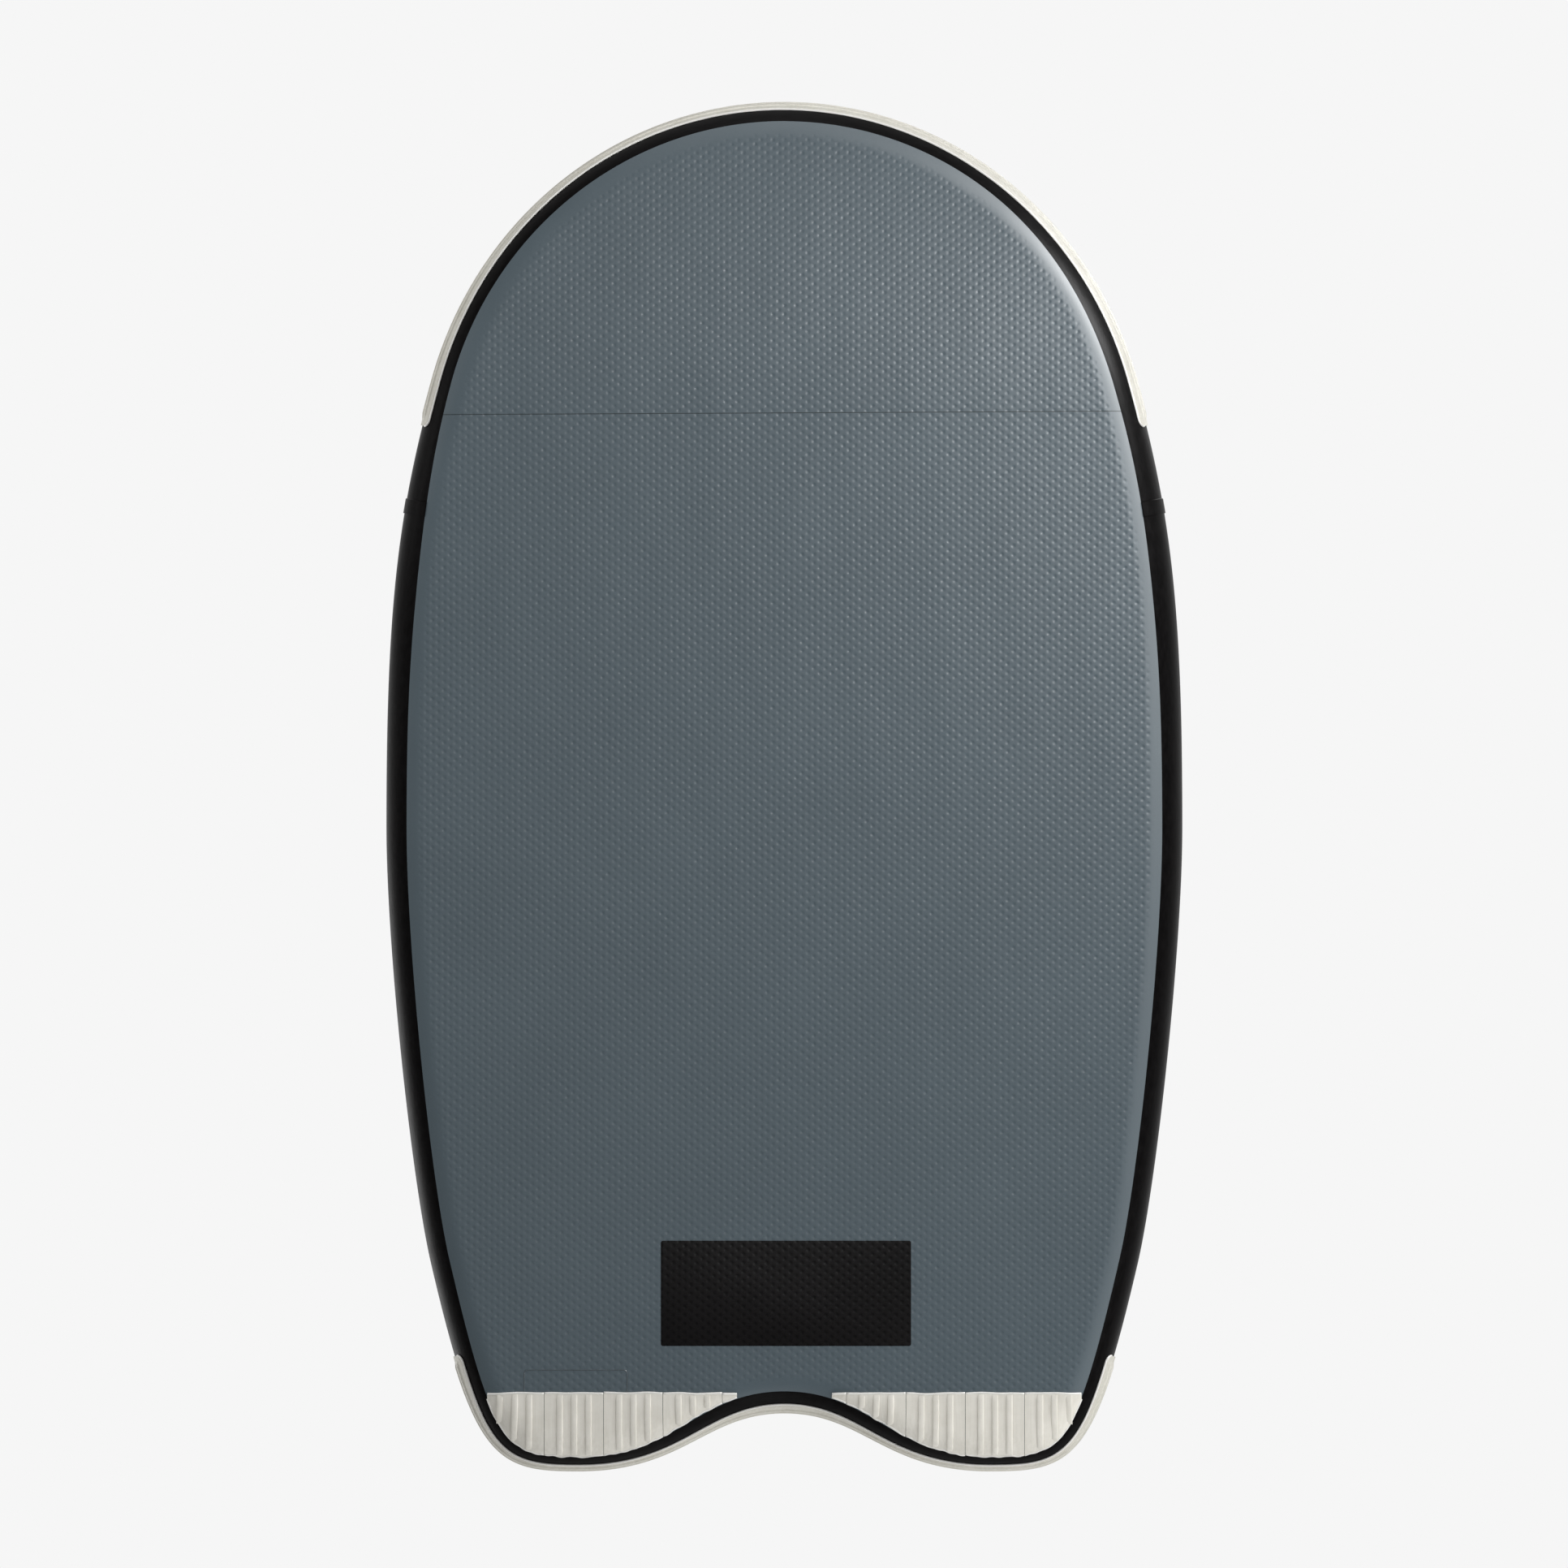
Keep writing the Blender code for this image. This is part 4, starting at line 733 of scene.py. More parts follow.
round_wire, swept_rib = wire_tree(), rib_tree()
# near-white beads along the strakes' lower edges and the strips' cut edges: a painted highlight of the light those
# edges catch
edge_highlight, tree, shader = finish("pale_edge_highlight", 0.40, specular=0.4)
tinted(tree, shader, (0.80, 0.79, 0.75), (0.92, 0.91, 0.88), speckle(tree, object_place(tree), 120.0, 3.0))
bumped(tree, shader, speckle(tree, object_place(tree), 500.0, 3.0), 0.0003)
bone = moulded_rubber("bone_rubber", (0.62, 0.60, 0.53), (0.72, 0.705, 0.64), (1.0, 1.0, 0.2))
foot, crest = RIB_FOOT / 2, RIB_CREST / 2
rib_side = [(-0.0004, foot), (0.0, foot), (RIB_HEIGHT * 0.82, crest + 0.0004), (RIB_HEIGHT, crest - 0.0005)]
rib_profile = closed_profile("rib_profile", [(x, -y) for x, y in rib_side] + rib_side[::-1])


def strake(name, runs, node):
    """One strake: its stock, its three ribs swept along the wall, and the bead along its lower edge."""
    places = rail_at(runs[(runs > runs[0] + RIB_SHORT) & (runs < runs[-1] - RIB_SHORT)])
    shapes = [strake_base(runs)]
    for k in (-1, 0, 1):
        angle = math.acos(-2 * RIB_PITCH * k / THICKNESS)
        line = on_board(places, *section(angle, RIB_SUNK - FIT - STRAKE_BASE))
        slope = math.atan2(math.cos(angle) * 2 / THICKNESS, math.sin(angle) / BULGE)
        shapes.append(grown([line], swept_rib, Profile=rib_profile, Taper=RIB_TAPER, Tilt=slope, Finish=bone))
    piece(name, joined(*shapes), bone, "strake", node, crease=30)
    # the bead along the lower edge is coloured near white: a painted highlight on that edge
    places, _, lower = strake_reach(runs)
    angle = np.arccos(2 * (lower + STRAKE_EDGE_BEAD * 0.8) / THICKNESS)
    edge = on_board(places, *section(angle, -FIT - STRAKE_EDGE_BEAD / 2))
    bead = grown([edge], round_wire, Radius=STRAKE_EDGE_BEAD, Finish=edge_highlight)
    piece(f"{name}_edge_bead", joined(bead), edge_highlight, "strake", crease=60)


nose_end, tail_end = run_at(NOSE_STRAKE_Y), run_at(TAIL_STRAKE_Y)
for end, start, stop in (("nose", -nose_end, nose_end), ("tail", tail_end, 2 * HALF_RUN - tail_end)):
    middle = np.linspace(start + STRAKE_CORNER, stop - STRAKE_CORNER, STRAKE_ROWS)
    runs = np.concatenate([start + CORNER_STEPS, middle, stop - CORNER_STEPS[::-1]])
    strake(f"{end}_strake", runs, f"rub_strake_{end}")

# The wear strips: lengths of the ribbed stock laid fore and aft side by side under each tail lobe, glued
# down and trimmed by hand along the black band, with a raised near-white bead along the cut edges that is a
# painted highlight of the light on those edges.

STRIPS = 5
STRIP_Y = 0.930
STRIP_WIDTH = 0.0909
STRIP_REACH = 0.459
STRIP_PROUD = 0.0017
STRIP_GAP = 0.0007
STRIP_ROWS, STRIP_COLUMNS = 14, 46
STRIP_SHORTEST, STRIP_RIB_SHORTEST = 0.004, 0.012
EDGE_BEAD = 0.0017
# the strips start out of line by up to a step, and their cut edges waver by a height, at so many waves a
# metre; the aft edge stops short of the band by a slack, which is more round one place: how much, where
# and over what reach
STRIP_STEP = 0.0012
FORE_WAVER, AFT_WAVER = (0.0020, 26.0), (0.0022, 75.0)
AFT_SLACK = 0.0012
MORE_SLACK = (0.0034, 0.13, 0.09)


def hull_point(x, y, proud):
    """Points on the hull's face at places in plan, standing out by a height."""
    whole = rail_at(np.arange(0.0, 2 * HALF_RUN, 0.004))
    gap = (x[:, None] - whole[None, :, 0]) ** 2 + (y[:, None] - whole[None, :, 1]) ** 2
    nearest = np.argmin(gap, axis=1)
    inset = np.sqrt(gap[np.arange(len(x)), nearest])
    angle = np.arcsin(np.clip(1 - inset / BULGE, 0.0, 1.0))
    out = -np.array([np.sin(angle) / BULGE, np.cos(angle) * 2 / THICKNESS])
    out /= np.linalg.norm(out, axis=0)
    plan = np.column_stack([x, y]) + whole[nearest, 2:4] * (out[0] * proud)[:, None]
    return np.column_stack([plan, BOTTOM + THICKNESS / 2 * (1 - np.cos(angle)) + out[1] * proud])


def trim_line():
    """Columns of X from the notch outwards, and the Y of the black band's edge under the port lobe there."""
    places = rail_at(np.linspace(HALF_RUN - 0.62, HALF_RUN, 500))
    edge = on_board(places, *section(band_edge(places), 0.0))
    order = np.argsort(edge[:, 0])
    return edge[order, 0], edge[order, 1]


TRIM_X, TRIM_Y = trim_line()


def waver(x, seed, size, waves):
    """A hand-made waver along a line."""
    return np.array([size * noise.noise(Vector((float(v) * waves, seed, 0.0))) for v in np.atleast_1d(x)])


def rim_of(rows):
    """The points round the edge of a sheet of rows."""
    return rows[0] + [row[-1] for row in rows[1:-1]] + rows[-1][::-1] + [row[0] for row in rows[-2:0:-1]]


def wear_strip(side, number):
    """One strip: its stock, its three ribs, and the pale beads along its cut ends."""
    sign = 1 if side == "port" else -1
    edge = STRIP_REACH - STRIP_WIDTH * number
    seed = 3.7 * number + (11.0 if sign > 0 else 0.0)
    step = float(noise.noise(Vector((seed, 0.0, 5.0)))) * STRIP_STEP

    def fore(x):
        return STRIP_Y + 0.0006 + step + waver(x, seed, *FORE_WAVER)

    def aft(x):
        slack = AFT_SLACK + swell(np.asarray(x), *MORE_SLACK)
        return np.interp(x, TRIM_X, TRIM_Y) - slack + waver(x, seed + 40.0, *AFT_WAVER)

    x = np.linspace(max(edge - STRIP_WIDTH, 0.0) + STRIP_GAP / 2, edge - STRIP_GAP / 2, STRIP_COLUMNS)
    x = x[aft(x) - fore(x) > STRIP_SHORTEST]
    stock = bmesh.new()
    sheets = []
    for proud in (STRIP_PROUD, -0.0001):
        rows = [hull_point(sign * x, fore(x) + (aft(x) - fore(x)) * share, proud)
                for share in np.linspace(0.0, 1.0, STRIP_ROWS)]
        sheets.append([[stock.verts.new(point) for point in row] for row in rows])
        banded(stock, sheets[-1], around=False)
    banded(stock, [rim_of(sheet) for sheet in sheets])
    lines = []
    for k in (-1, 0, 1):
        at = edge - STRIP_WIDTH / 2 + RIB_PITCH * k
        if not x[0] + foot < at < x[-1] - foot:
            continue
        start, stop = float(fore(at)[0]) + 0.001, float(aft(at)[0]) - 0.0015
        if stop - start < STRIP_RIB_SHORTEST:
            continue
        y = np.unique(np.concatenate([[start, start + 0.008], np.linspace(start, stop, 9), [stop - 0.005, stop]]))
        lines.append(hull_point(np.full(len(y), sign * at), y, STRIP_PROUD - RIB_SUNK))
    laid = {"Tilt": math.pi / 2}
    shapes = [stock]
    if lines:
        shapes.append(grown(lines, swept_rib, Profile=rib_profile, Taper=0.007, Finish=strip_rubber, **laid))
    node = f"wear_strip_{side}_{number + 1}"
    piece(f"{node}_ribbed", joined(*shapes), strip_rubber, "strake", node, crease=30)
    # the beads along both cut ends are coloured near white: a painted highlight on those edges
    cuts = [hull_point(sign * x, fore(x) - 0.0004, STRIP_PROUD - 0.0003),
            hull_point(sign * x, aft(x) + 0.0004, STRIP_PROUD - 0.0006)]
    beads = grown(cuts, swept_rib, Profile=bead_profile, Taper=0.001, Finish=edge_highlight, **laid)
    piece(f"adhesive_bead_{side}_{number + 1}", joined(beads), edge_highlight, "strake", crease=60)


strip_rubber = moulded_rubber("strip_rubber", (0.76, 0.735, 0.66), (0.86, 0.835, 0.765), (1.0, 0.05, 1.0))
bead_profile = closed_profile("bead_profile", [
    (EDGE_BEAD * 0.9 * math.sin(t), EDGE_BEAD * math.cos(t)) for t in np.linspace(0, math.pi, 7)
] + [(-0.0012, -EDGE_BEAD), (-0.0012, EDGE_BEAD)])
for side in ("port", "starboard"):
    for number in range(STRIPS):
        wear_strip(side, number)

# The black patch near the tail, a rectangle of thin fabric glued on the hull and left bare, with the
# dimples of the hull showing through it, and the fine rim of a bare clear plate beside the wear strips.

HULL = BOTTOM + SKIN_DEPTH
PATCH_X = (-0.1892, 0.1941)
PATCH_Y = (0.6963, 0.8575)
PATCH_CORNER = 0.003
PATCH_PUFF = 0.8
PLATE_X = (-0.399, -0.241)
PLATE_Y = (0.8945, 0.935)
PLATE_CORNER = 0.006
PLATE_RIM = 0.0006


def rounded(x_range, y_range, corner, steps=6):
    """A rectangle with rounded corners, as points in plan."""
    points = []
    for k, (x, y) in enumerate(((1, 1), (0, 1), (0, 0), (1, 0))):
        centre = Vector((x_range[x] + (corner if x == 0 else -corner), y_range[y] + (corner if y == 0 else -corner)))
        for t in np.linspace(0.0, math.pi / 2, steps) + k * math.pi / 2:
            points.append(centre + corner * Vector((math.cos(t), math.sin(t))))
    return points


def plate(outline, levels):
    """A flat plate through levels of (height, inset) from its outline."""
    middle = sum(outline, Vector((0.0, 0.0))) / len(outline)
    inward = [(middle - point).normalized() for point in outline]
    return lofted([[(*(point + way * inset), height) for point, way in zip(outline, inward)]
                   for height, inset in levels])


# its pits are painted fully dark: painted shade in the dimples that show through
patch_fabric = coated_fabric("black_patch_fabric", (0.0008, 0.0006, 0.0007), (0.0075, 0.0066, 0.0070),
                             0.44, 0.06, pit_shade=1.0)
patch_levels = [(HULL, 0.0), (HULL - 0.0004, 0.0), (HULL - 0.0005, 0.0004)]
patch = plate(rounded(PATCH_X, PATCH_Y, PATCH_CORNER), patch_levels)
layer = patch.verts.layers.float.new("puff")
for vert in patch.verts:
    vert[layer] = PATCH_PUFF
piece("bare_black_patch", patch, patch_fabric, "patch")

clear_plate, tree, shader = finish("clear_plate", 0.30, specular=0.45)
tinted(tree, shader, (0.020, 0.028, 0.033), (0.075, 0.095, 0.108), speckle(tree, object_place(tree), 90.0))
bumped(tree, shader, speckle(tree, object_place(tree), 300.0), 0.0002)
rim_line = [(*point, HULL) for point in rounded(PLATE_X, PLATE_Y, PLATE_CORNER)]
plate_rim = grown([rim_line + rim_line[:1]], round_wire, Radius=PLATE_RIM, Finish=clear_plate)
piece("bare_clear_plate", joined(plate_rim), clear_plate, "hull_skin")

# The deck pad: soft closed-cell foam glued on the deck for the casualty to lie on, its sides following
# the rail, its top edge rounded over, with six drain grooves pressed along it and a crossed grip texture.

PAD_FORE, PAD_AFT = -0.440, 0.760
PAD_INSET = 0.190
PAD_CORNER = 0.060
PAD_LOW, PAD_TOP = DECK + FIT, DECK + FIT + 0.005
PAD_ROUND = 0.0018
PAD_MARGIN = 0.310
# how far inside the rim the top has its first columns, and its first rows
PAD_RIM = [0.0, 0.0003, 0.0009, 0.0018]
PAD_ENDS = PAD_RIM + [0.004, 0.008, 0.014, 0.022, 0.032, 0.045, 0.060]
GROOVES = [-0.300, -0.180, -0.060, 0.060, 0.180, 0.300]
GROOVE_DEPTH = 0.0025
# half a groove: distance from its middle, and share of its depth
GROOVE_SECTION = ((-0.0028, 0.0), (-0.0021, 0.12), (-0.0018, 0.6), (-0.0013, 1.0))


def pad_reach(y):
    """Half width of the pad at a given Y, its corners rounded."""
    places = rail_at(np.linspace(0.02, HALF_RUN - 0.02, 400))
    side = places[:, :2] + places[:, 2:4] * PAD_INSET
    side = side[side[:, 0] > PAD_CORNER]
    order = np.argsort(side[:, 1])
    reach = float(np.interp(y, side[order, 1], side[order, 0]))
    left = max(PAD_CORNER - min(y - PAD_FORE, PAD_AFT - y), 0.0)
    return reach - (PAD_CORNER - math.sqrt(PAD_CORNER**2 - min(left, PAD_CORNER) ** 2))


def rounding(distance):
    """How far the pad's top edge has dropped at a distance inside its rim."""
    left = np.clip(PAD_ROUND - distance, 0.0, PAD_ROUND)
    return PAD_ROUND - math.sqrt(PAD_ROUND**2 - left**2)


def pad_shell():
    """The pad as one closed shell: its moulded top, its sides and its glued face."""
    ys = [PAD_FORE + d for d in PAD_ENDS] + list(np.arange(PAD_FORE + 0.08, PAD_AFT - 0.07, 0.02))
    ys += [PAD_AFT - d for d in PAD_ENDS[::-1]]
    inner = [-PAD_MARGIN]
    for groove in GROOVES:
        inner += [groove + at for at, _ in GROOVE_SECTION] + [groove - at for at, _ in GROOVE_SECTION[::-1]]
        inner.append(min(groove + 0.060, PAD_MARGIN))
    dips = {round(g + s * at, 5): share for g in GROOVES for at, share in GROOVE_SECTION for s in (-1, 1)}
    bm = bmesh.new()
    top = []
    for y in ys:
        reach = pad_reach(y)
        beside = (reach + PAD_MARGIN) / 2
        xs = [d - reach for d in PAD_RIM] + [-beside] + inner + [beside] + [reach - d for d in PAD_RIM[::-1]]
        row = []
        for k, x in enumerate(xs):
            dip = GROOVE_DEPTH * dips.get(round(x, 5), 0.0) * float(np.clip((reach - abs(x)) / 0.004 - 1, 0, 1))
            if len(PAD_RIM) < k < len(xs) - len(PAD_RIM) - 1:
                limit = reach - 0.0025 - 0.00002 * min(k, len(xs) - k)
                x = float(np.clip(x, -limit, limit))
            drop = max(rounding(reach - abs(x)), rounding(min(y - PAD_FORE, PAD_AFT - y)))
            row.append(bm.verts.new((x, y, PAD_TOP - max(drop, dip))))
        top.append(row)
    banded(bm, top, around=False)
    rim = rim_of(top)
    glued_face = [bm.verts.new((v.co.x, v.co.y, PAD_LOW)) for v in rim]
    banded(bm, [rim, glued_face])
    bm.faces.new(glued_face)
    return bm


foam, tree, shader = finish("charcoal_foam", 0.86, specular=0.25)
place = object_place(tree)
axes = add(tree, "ShaderNodeSeparateXYZ", {0: place}).outputs
ridges = 0.0
for sign in (1.0, -1.0):
    slant = weighted(tree, (axes["X"], math.pi / 0.0075), (axes["Y"], math.pi / 0.0075 * sign * 0.55))
    wave = calc(tree, "ABSOLUTE", calc(tree, "SINE", slant))
    ridges = calc(tree, "MAXIMUM", calc(tree, "POWER", calc(tree, "SUBTRACT", 1.0, wave), 3.0), ridges)
cells = add(tree, "ShaderNodeTexVoronoi", {"Vector": place, "Scale": 1500.0}).outputs["Distance"]
bumped(tree, shader, weighted(tree, (cells, 0.25), (ridges, -1.0)), 0.0007)
# the foam is mottled in tone on its flats and darker down in the crossed grip grooves
mottle_dark_in_grooves = product(tree, speckle(tree, place, 9.0, 5.0, 0.6), calc(tree, "SUBTRACT", 1.0, ridges))
tinted(tree, shader, (0.030, 0.031, 0.033), (0.062, 0.064, 0.067), ranged(tree, mottle_dark_in_grooves, 0.25, 0.6))
pad = piece("foam_deck_pad", pad_shell(), foam, "pad", "deck_pad", crease=60)

# The grab handles, three along each deck edge: a strap of flat woven webbing sewn to a glued round-cornered
# patch with a boxed cross at each foot, and a ribbed rubber grip moulded round its raised middle.

PATCH_TOP = FIT + 0.0012
STRAP_WIDTH = 0.038
STRAP = 0.0025
STRAP_LOW = PATCH_TOP + FIT + STRAP / 2
STRAP_RISE = 0.036
STRAP_FOOT = 0.093
STRAP_SHOULDER = 0.065
GRIP_HALF = 0.059
GRIP_WIDTH = 0.046
GRIP_THICK = 0.016
GRIP_SIDES = 44
GRIP_RIBS = 0.0074
GRIP_RIB_DEPTH = 0.0008
FOOT_PATCH_X, FOOT_PATCH_Y, FOOT_PATCH_CORNER = (-0.040, 0.040), (-0.150, 0.150), 0.030
STITCH_PITCH = 0.0036
STITCH_SIZE = (0.00135, 0.00045, 0.00042)
# a handle's sewn boxes: half their width, and where they start and end from its middle
BOX_HALF, BOX_NEAR, BOX_FAR = 0.0155, 0.099, 0.131
# place along the rail: x, y, turn in degrees on the port side
HANDLES = {
    "fore": (0.48304, -0.26065, -4.546), "mid": (0.48946, 0.16393, 2.949), "aft": (0.44692, 0.59287, 8.348),
}


def on_deck(x, y, turn):
    """A placing frame on the flat of the deck."""
    return Matrix.Translation((x, y, DECK)) @ Matrix.Rotation(math.radians(turn), 4, "Z")


def patch_shell(outline):
    """A thin glued patch with an eased rim."""
    top = PATCH_TOP
    return plate(outline, [(FIT, 0.0), (top - 0.0004, 0.0), (top - 0.0001, 0.0003), (top, 0.0009)])


def webbing(line, width, thick, stand, tag):
    """A flat strap swept along a line of (y, z) in a placing frame, with its own cloth coordinates."""
    line = np.array(line)
    run = np.concatenate([[0.0], np.cumsum(np.linalg.norm(np.diff(line, axis=0), axis=1))])
    along = np.gradient(line, axis=0)
    along /= np.linalg.norm(along, axis=1)[:, None]
    half, ply = width / 2, thick / 2
    rim = [(half, 0.0), (half - 0.0003, 0.7), (half - 0.001, 1.0)]
    top = rim + [(half * s, 1.0) for s in (0.6, 0.2, -0.2, -0.6)] + [(-x, h) for x, h in rim[::-1]]
    ring = top + [(-x, -h) for x, h in top[1:-1]]
    bm = bmesh.new()
    cloth = bm.verts.layers.float_vector.new("cloth")
    rows = []
    for spot, ahead, s in zip(line, along, run):
        row = []
        for x, h in ring:
            y, z = spot + np.array((-ahead[1], ahead[0])) * h * ply
            vert = bm.verts.new(stand @ Vector((x, y, z)))
            vert[cloth] = (x, s + tag, h * ply)
            row.append(vert)
        rows.append(row)
    banded(bm, rows)
    bm.faces.new(rows[0])
    bm.faces.new(rows[-1])
    return bm


def handle_line():
    """Middle of a handle's strap: flat feet, an S up each side and a level grip."""
    line = [(-y, STRAP_LOW) for y in (0.135, 0.125, 0.108, STRAP_FOOT)]
    for share in np.linspace(0.0, 1.0, 19)[1:]:
        y = -STRAP_FOOT + (STRAP_FOOT - STRAP_SHOULDER) * share
        line.append((y, STRAP_LOW + STRAP_RISE * (1 - math.cos(math.pi * share)) / 2))
    line.append((-0.030, STRAP_LOW + STRAP_RISE))
    return line + [(-y, z) for y, z in line[::-1]]


def grip_shell(stand):
    """The moulded grip: a ribbed oval sleeve, round at its rims, with a flat slot for the strap."""
    radius = GRIP_THICK / 2
    side = GRIP_WIDTH / 2 - radius
    outer = [(math.copysign(side, math.cos(t)) + radius * math.cos(t), radius * math.sin(t))
             for t in 2 * math.pi * (np.arange(GRIP_SIDES) + 0.5) / GRIP_SIDES]
    slot = [(float(np.clip(x * 1.3, -0.0193, 0.0193)), 0.00155 * z / radius) for x, z in outer]
    middle = np.linspace(-GRIP_HALF + 0.006, GRIP_HALF - 0.006, 91)
    rows = list(zip(middle, GRIP_RIB_DEPTH * (0.5 - 0.5 * np.cos(2 * math.pi * middle / GRIP_RIBS)) ** 3))
    for inside, pull in ((0.0, 0.0024), (0.0005, 0.0012), (0.0014, 0.0004), (0.0026, 0.0)):
        rows += [(inside - GRIP_HALF, pull), (GRIP_HALF - inside, pull)]
    centre = STRAP_LOW + STRAP_RISE
    bm = bmesh.new()
    loops = []
    for y, pull in sorted(rows):
        scale_x, scale_z = 1 - pull / (GRIP_WIDTH / 2), 1 - pull / radius
        loops.append([bm.verts.new(stand @ Vector((x * scale_x, y, centre + z * scale_z))) for x, z in outer])
    for y in np.linspace(GRIP_HALF, -GRIP_HALF, 5):
        loops.append([bm.verts.new(stand @ Vector((x, y, centre + z))) for x, z in slot])
    banded(bm, loops + loops[:1])
    return bm


def stitch_tree():
    """Lay one stitch after another along each line, a pitch apart."""
    tree, given, line = new_tree("sewn_line", Stitch="Object", Pitch="Float", Finish="Material")
    spots = add(tree, "GeometryNodeCurveToPoints", {"Curve": line, "Length": given["Pitch"]}, mode="LENGTH")
    lie = add(tree, "FunctionNodeAlignRotationToVector", {"Vector": spots.outputs["Tangent"]}, axis="X",
              pivot_axis="Z")
    thread = add(tree, "GeometryNodeObjectInfo", {"Object": given["Stitch"], "As Instance": True})
    laid = add(tree, "GeometryNodeInstanceOnPoints", {
        "Points": spots.outputs["Points"], "Instance": thread.outputs["Geometry"], "Rotation": lie.outputs[0],
    }).outputs[0]
    return closed_tree(tree, laid, given["Finish"])


def boxed_cross(x, low, high):
    """Lines of a sewn box with a cross in it, in plan."""
    a, b, c, d = (-x, low), (x, low), (x, high), (-x, high)
    return [(a, b), (b, c), (c, d), (d, a), (a, c), (b, d)]


def sewn(name, boxes, height, stand):
    """Stitches along boxed crosses at one height in a placing frame."""
    lines = [[(*start, height), (*end, height)] for box in boxes for start, end in box]
    mesh = grown(lines, stitch_lines, Stitch=stitch, Pitch=STITCH_PITCH, Finish=thread)
    mesh.transform(stand)
    piece(name, joined(mesh), thread, "webbing", crease=60)


cloth_patch, tree, shader = finish("black_patch_cloth", 0.62, specular=0.25)
place = object_place(tree)
warp, weft = (
    add(tree, "ShaderNodeTexWave", {"Vector": place, "Scale": 260.0, "Distortion": 0.6}, bands_direction=way)
    for way in "XY"
)
bumped(tree, shader, product(tree, warp.outputs["Fac"], weft.outputs["Fac"]), 0.00022)
dust = speckle(tree, place, 30.0, 4.0, 0.6)
tinted(tree, shader, (0.012, 0.012, 0.013), (0.024, 0.024, 0.025), ranged(tree, dust, 0.35, 0.7))
roughened(tree, shader, dust, 0.54, 0.70)

woven_strap, tree, shader = finish("black_webbing", 0.72, specular=0.30)
cloth = add(tree, "ShaderNodeAttribute", attribute_name="cloth").outputs["Vector"]
axes = add(tree, "ShaderNodeSeparateXYZ", {0: cloth}).outputs
chevron = calc(tree, "PINGPONG", axes["X"], 0.0064)
picks = weighted(tree, (axes["Y"], math.pi / 0.0021), (chevron, math.pi / 0.0021))
twill = calc(tree, "ABSOLUTE", calc(tree, "SINE", picks))
yarns = calc(tree, "ABSOLUTE", calc(tree, "SINE", calc(tree, "MULTIPLY", axes["X"], math.pi / 0.0016)))
weave = product(tree, calc(tree, "POWER", twill, 0.6), calc(tree, "POWER", yarns, 0.5))
bumped(tree, shader, weave, 0.0004)
tinted(tree, shader, (0.010, 0.010, 0.011), (0.036, 0.036, 0.038), weave)

grip_rubber, tree, shader = finish("black_grip_rubber", 0.56, specular=0.32)
place = object_place(tree)
pimples = add(tree, "ShaderNodeTexVoronoi", {"Vector": place, "Scale": 620.0}).outputs["Distance"]
bumped(tree, shader, calc(tree, "SUBTRACT", 1.0, pimples), 0.00022)
bloom = speckle(tree, place, 55.0, 4.0, 0.6)
tinted(tree, shader, (0.016, 0.016, 0.017), (0.033, 0.033, 0.035), ranged(tree, bloom, 0.35, 0.7))
roughened(tree, shader, bloom, 0.48, 0.66)

thread, tree, shader = finish("bone_thread", 0.6, specular=0.3)
twist = add(tree, "ShaderNodeTexWave", {"Vector": object_place(tree), "Scale": 900.0}).outputs["Fac"]
tinted(tree, shader, (0.26, 0.25, 0.22), (0.44, 0.43, 0.38), twist)
bumped(tree, shader, twist, 0.0001)

one_stitch = bmesh.new()
bmesh.ops.create_uvsphere(one_stitch, u_segments=6, v_segments=4, radius=1.0)
one_stitch.transform(Matrix.Diagonal((*STITCH_SIZE, 1)) @ Matrix.Rotation(math.pi / 2, 4, "Y"))
stitch = placed("stitch", closed_mesh("stitch", one_stitch))
stitch_lines = stitch_tree()

patch_plan = rounded(FOOT_PATCH_X, FOOT_PATCH_Y, FOOT_PATCH_CORNER, 10)
crosses = [boxed_cross(BOX_HALF, BOX_NEAR, BOX_FAR), boxed_cross(BOX_HALF, -BOX_FAR, -BOX_NEAR)]
for side, sign in (("port", 1), ("starboard", -1)):
    for spot, (x, y, turn) in HANDLES.items():
        name = f"handle_{side}_{spot}"
        stand = on_deck(sign * x, y, sign * turn)
        glued = patch_shell(patch_plan)
        glued.transform(stand)
        piece(f"{name}_glued_patch", glued, cloth_patch, "patch", f"{name}_patch")
        strap = webbing(handle_line(), STRAP_WIDTH, STRAP, stand, tag=0.3 * sign * y)
        piece(f"{name}_woven_strap", strap, woven_strap, "webbing", f"{name}_strap", crease=60)
        piece(f"{name}_ribbed_grip", grip_shell(stand), grip_rubber, "grip", f"{name}_grip", crease=50)
        sewn(f"{name}_stitches", crosses, STRAP_LOW + STRAP / 2 + 0.0001, stand)

# The tow and tie-down rings: a welded stainless D-ring held in a folded loop of webbing, which is sewn
# through its tail and glued on a round patch. Each ring swings freely in its loop.

RING_PATCH = 0.055
RING_WIRE = 0.006
RING_PLY = 0.00146
RING_EYE = 0.00415
RING_TAIL = 0.036
RING_DROP = PATCH_TOP + FIT + 0.0049
RING_HALF = 0.028
RING_LEG = 0.008
RING_BEND = 0.006
LOOP_WIDTH = 0.040
LOOP_FILLET = 0.0015
# the loop's sewn box as for the handles, and the height of its stitches over the ring's hinge
LOOP_BOX = (0.0165, 0.011, 0.032)
LOOP_SEWN = -0.0018
NOSE_RING_Y = -0.925
NOSE_RING_Z = 0.19811
NOSE_SLOPE = -13.3


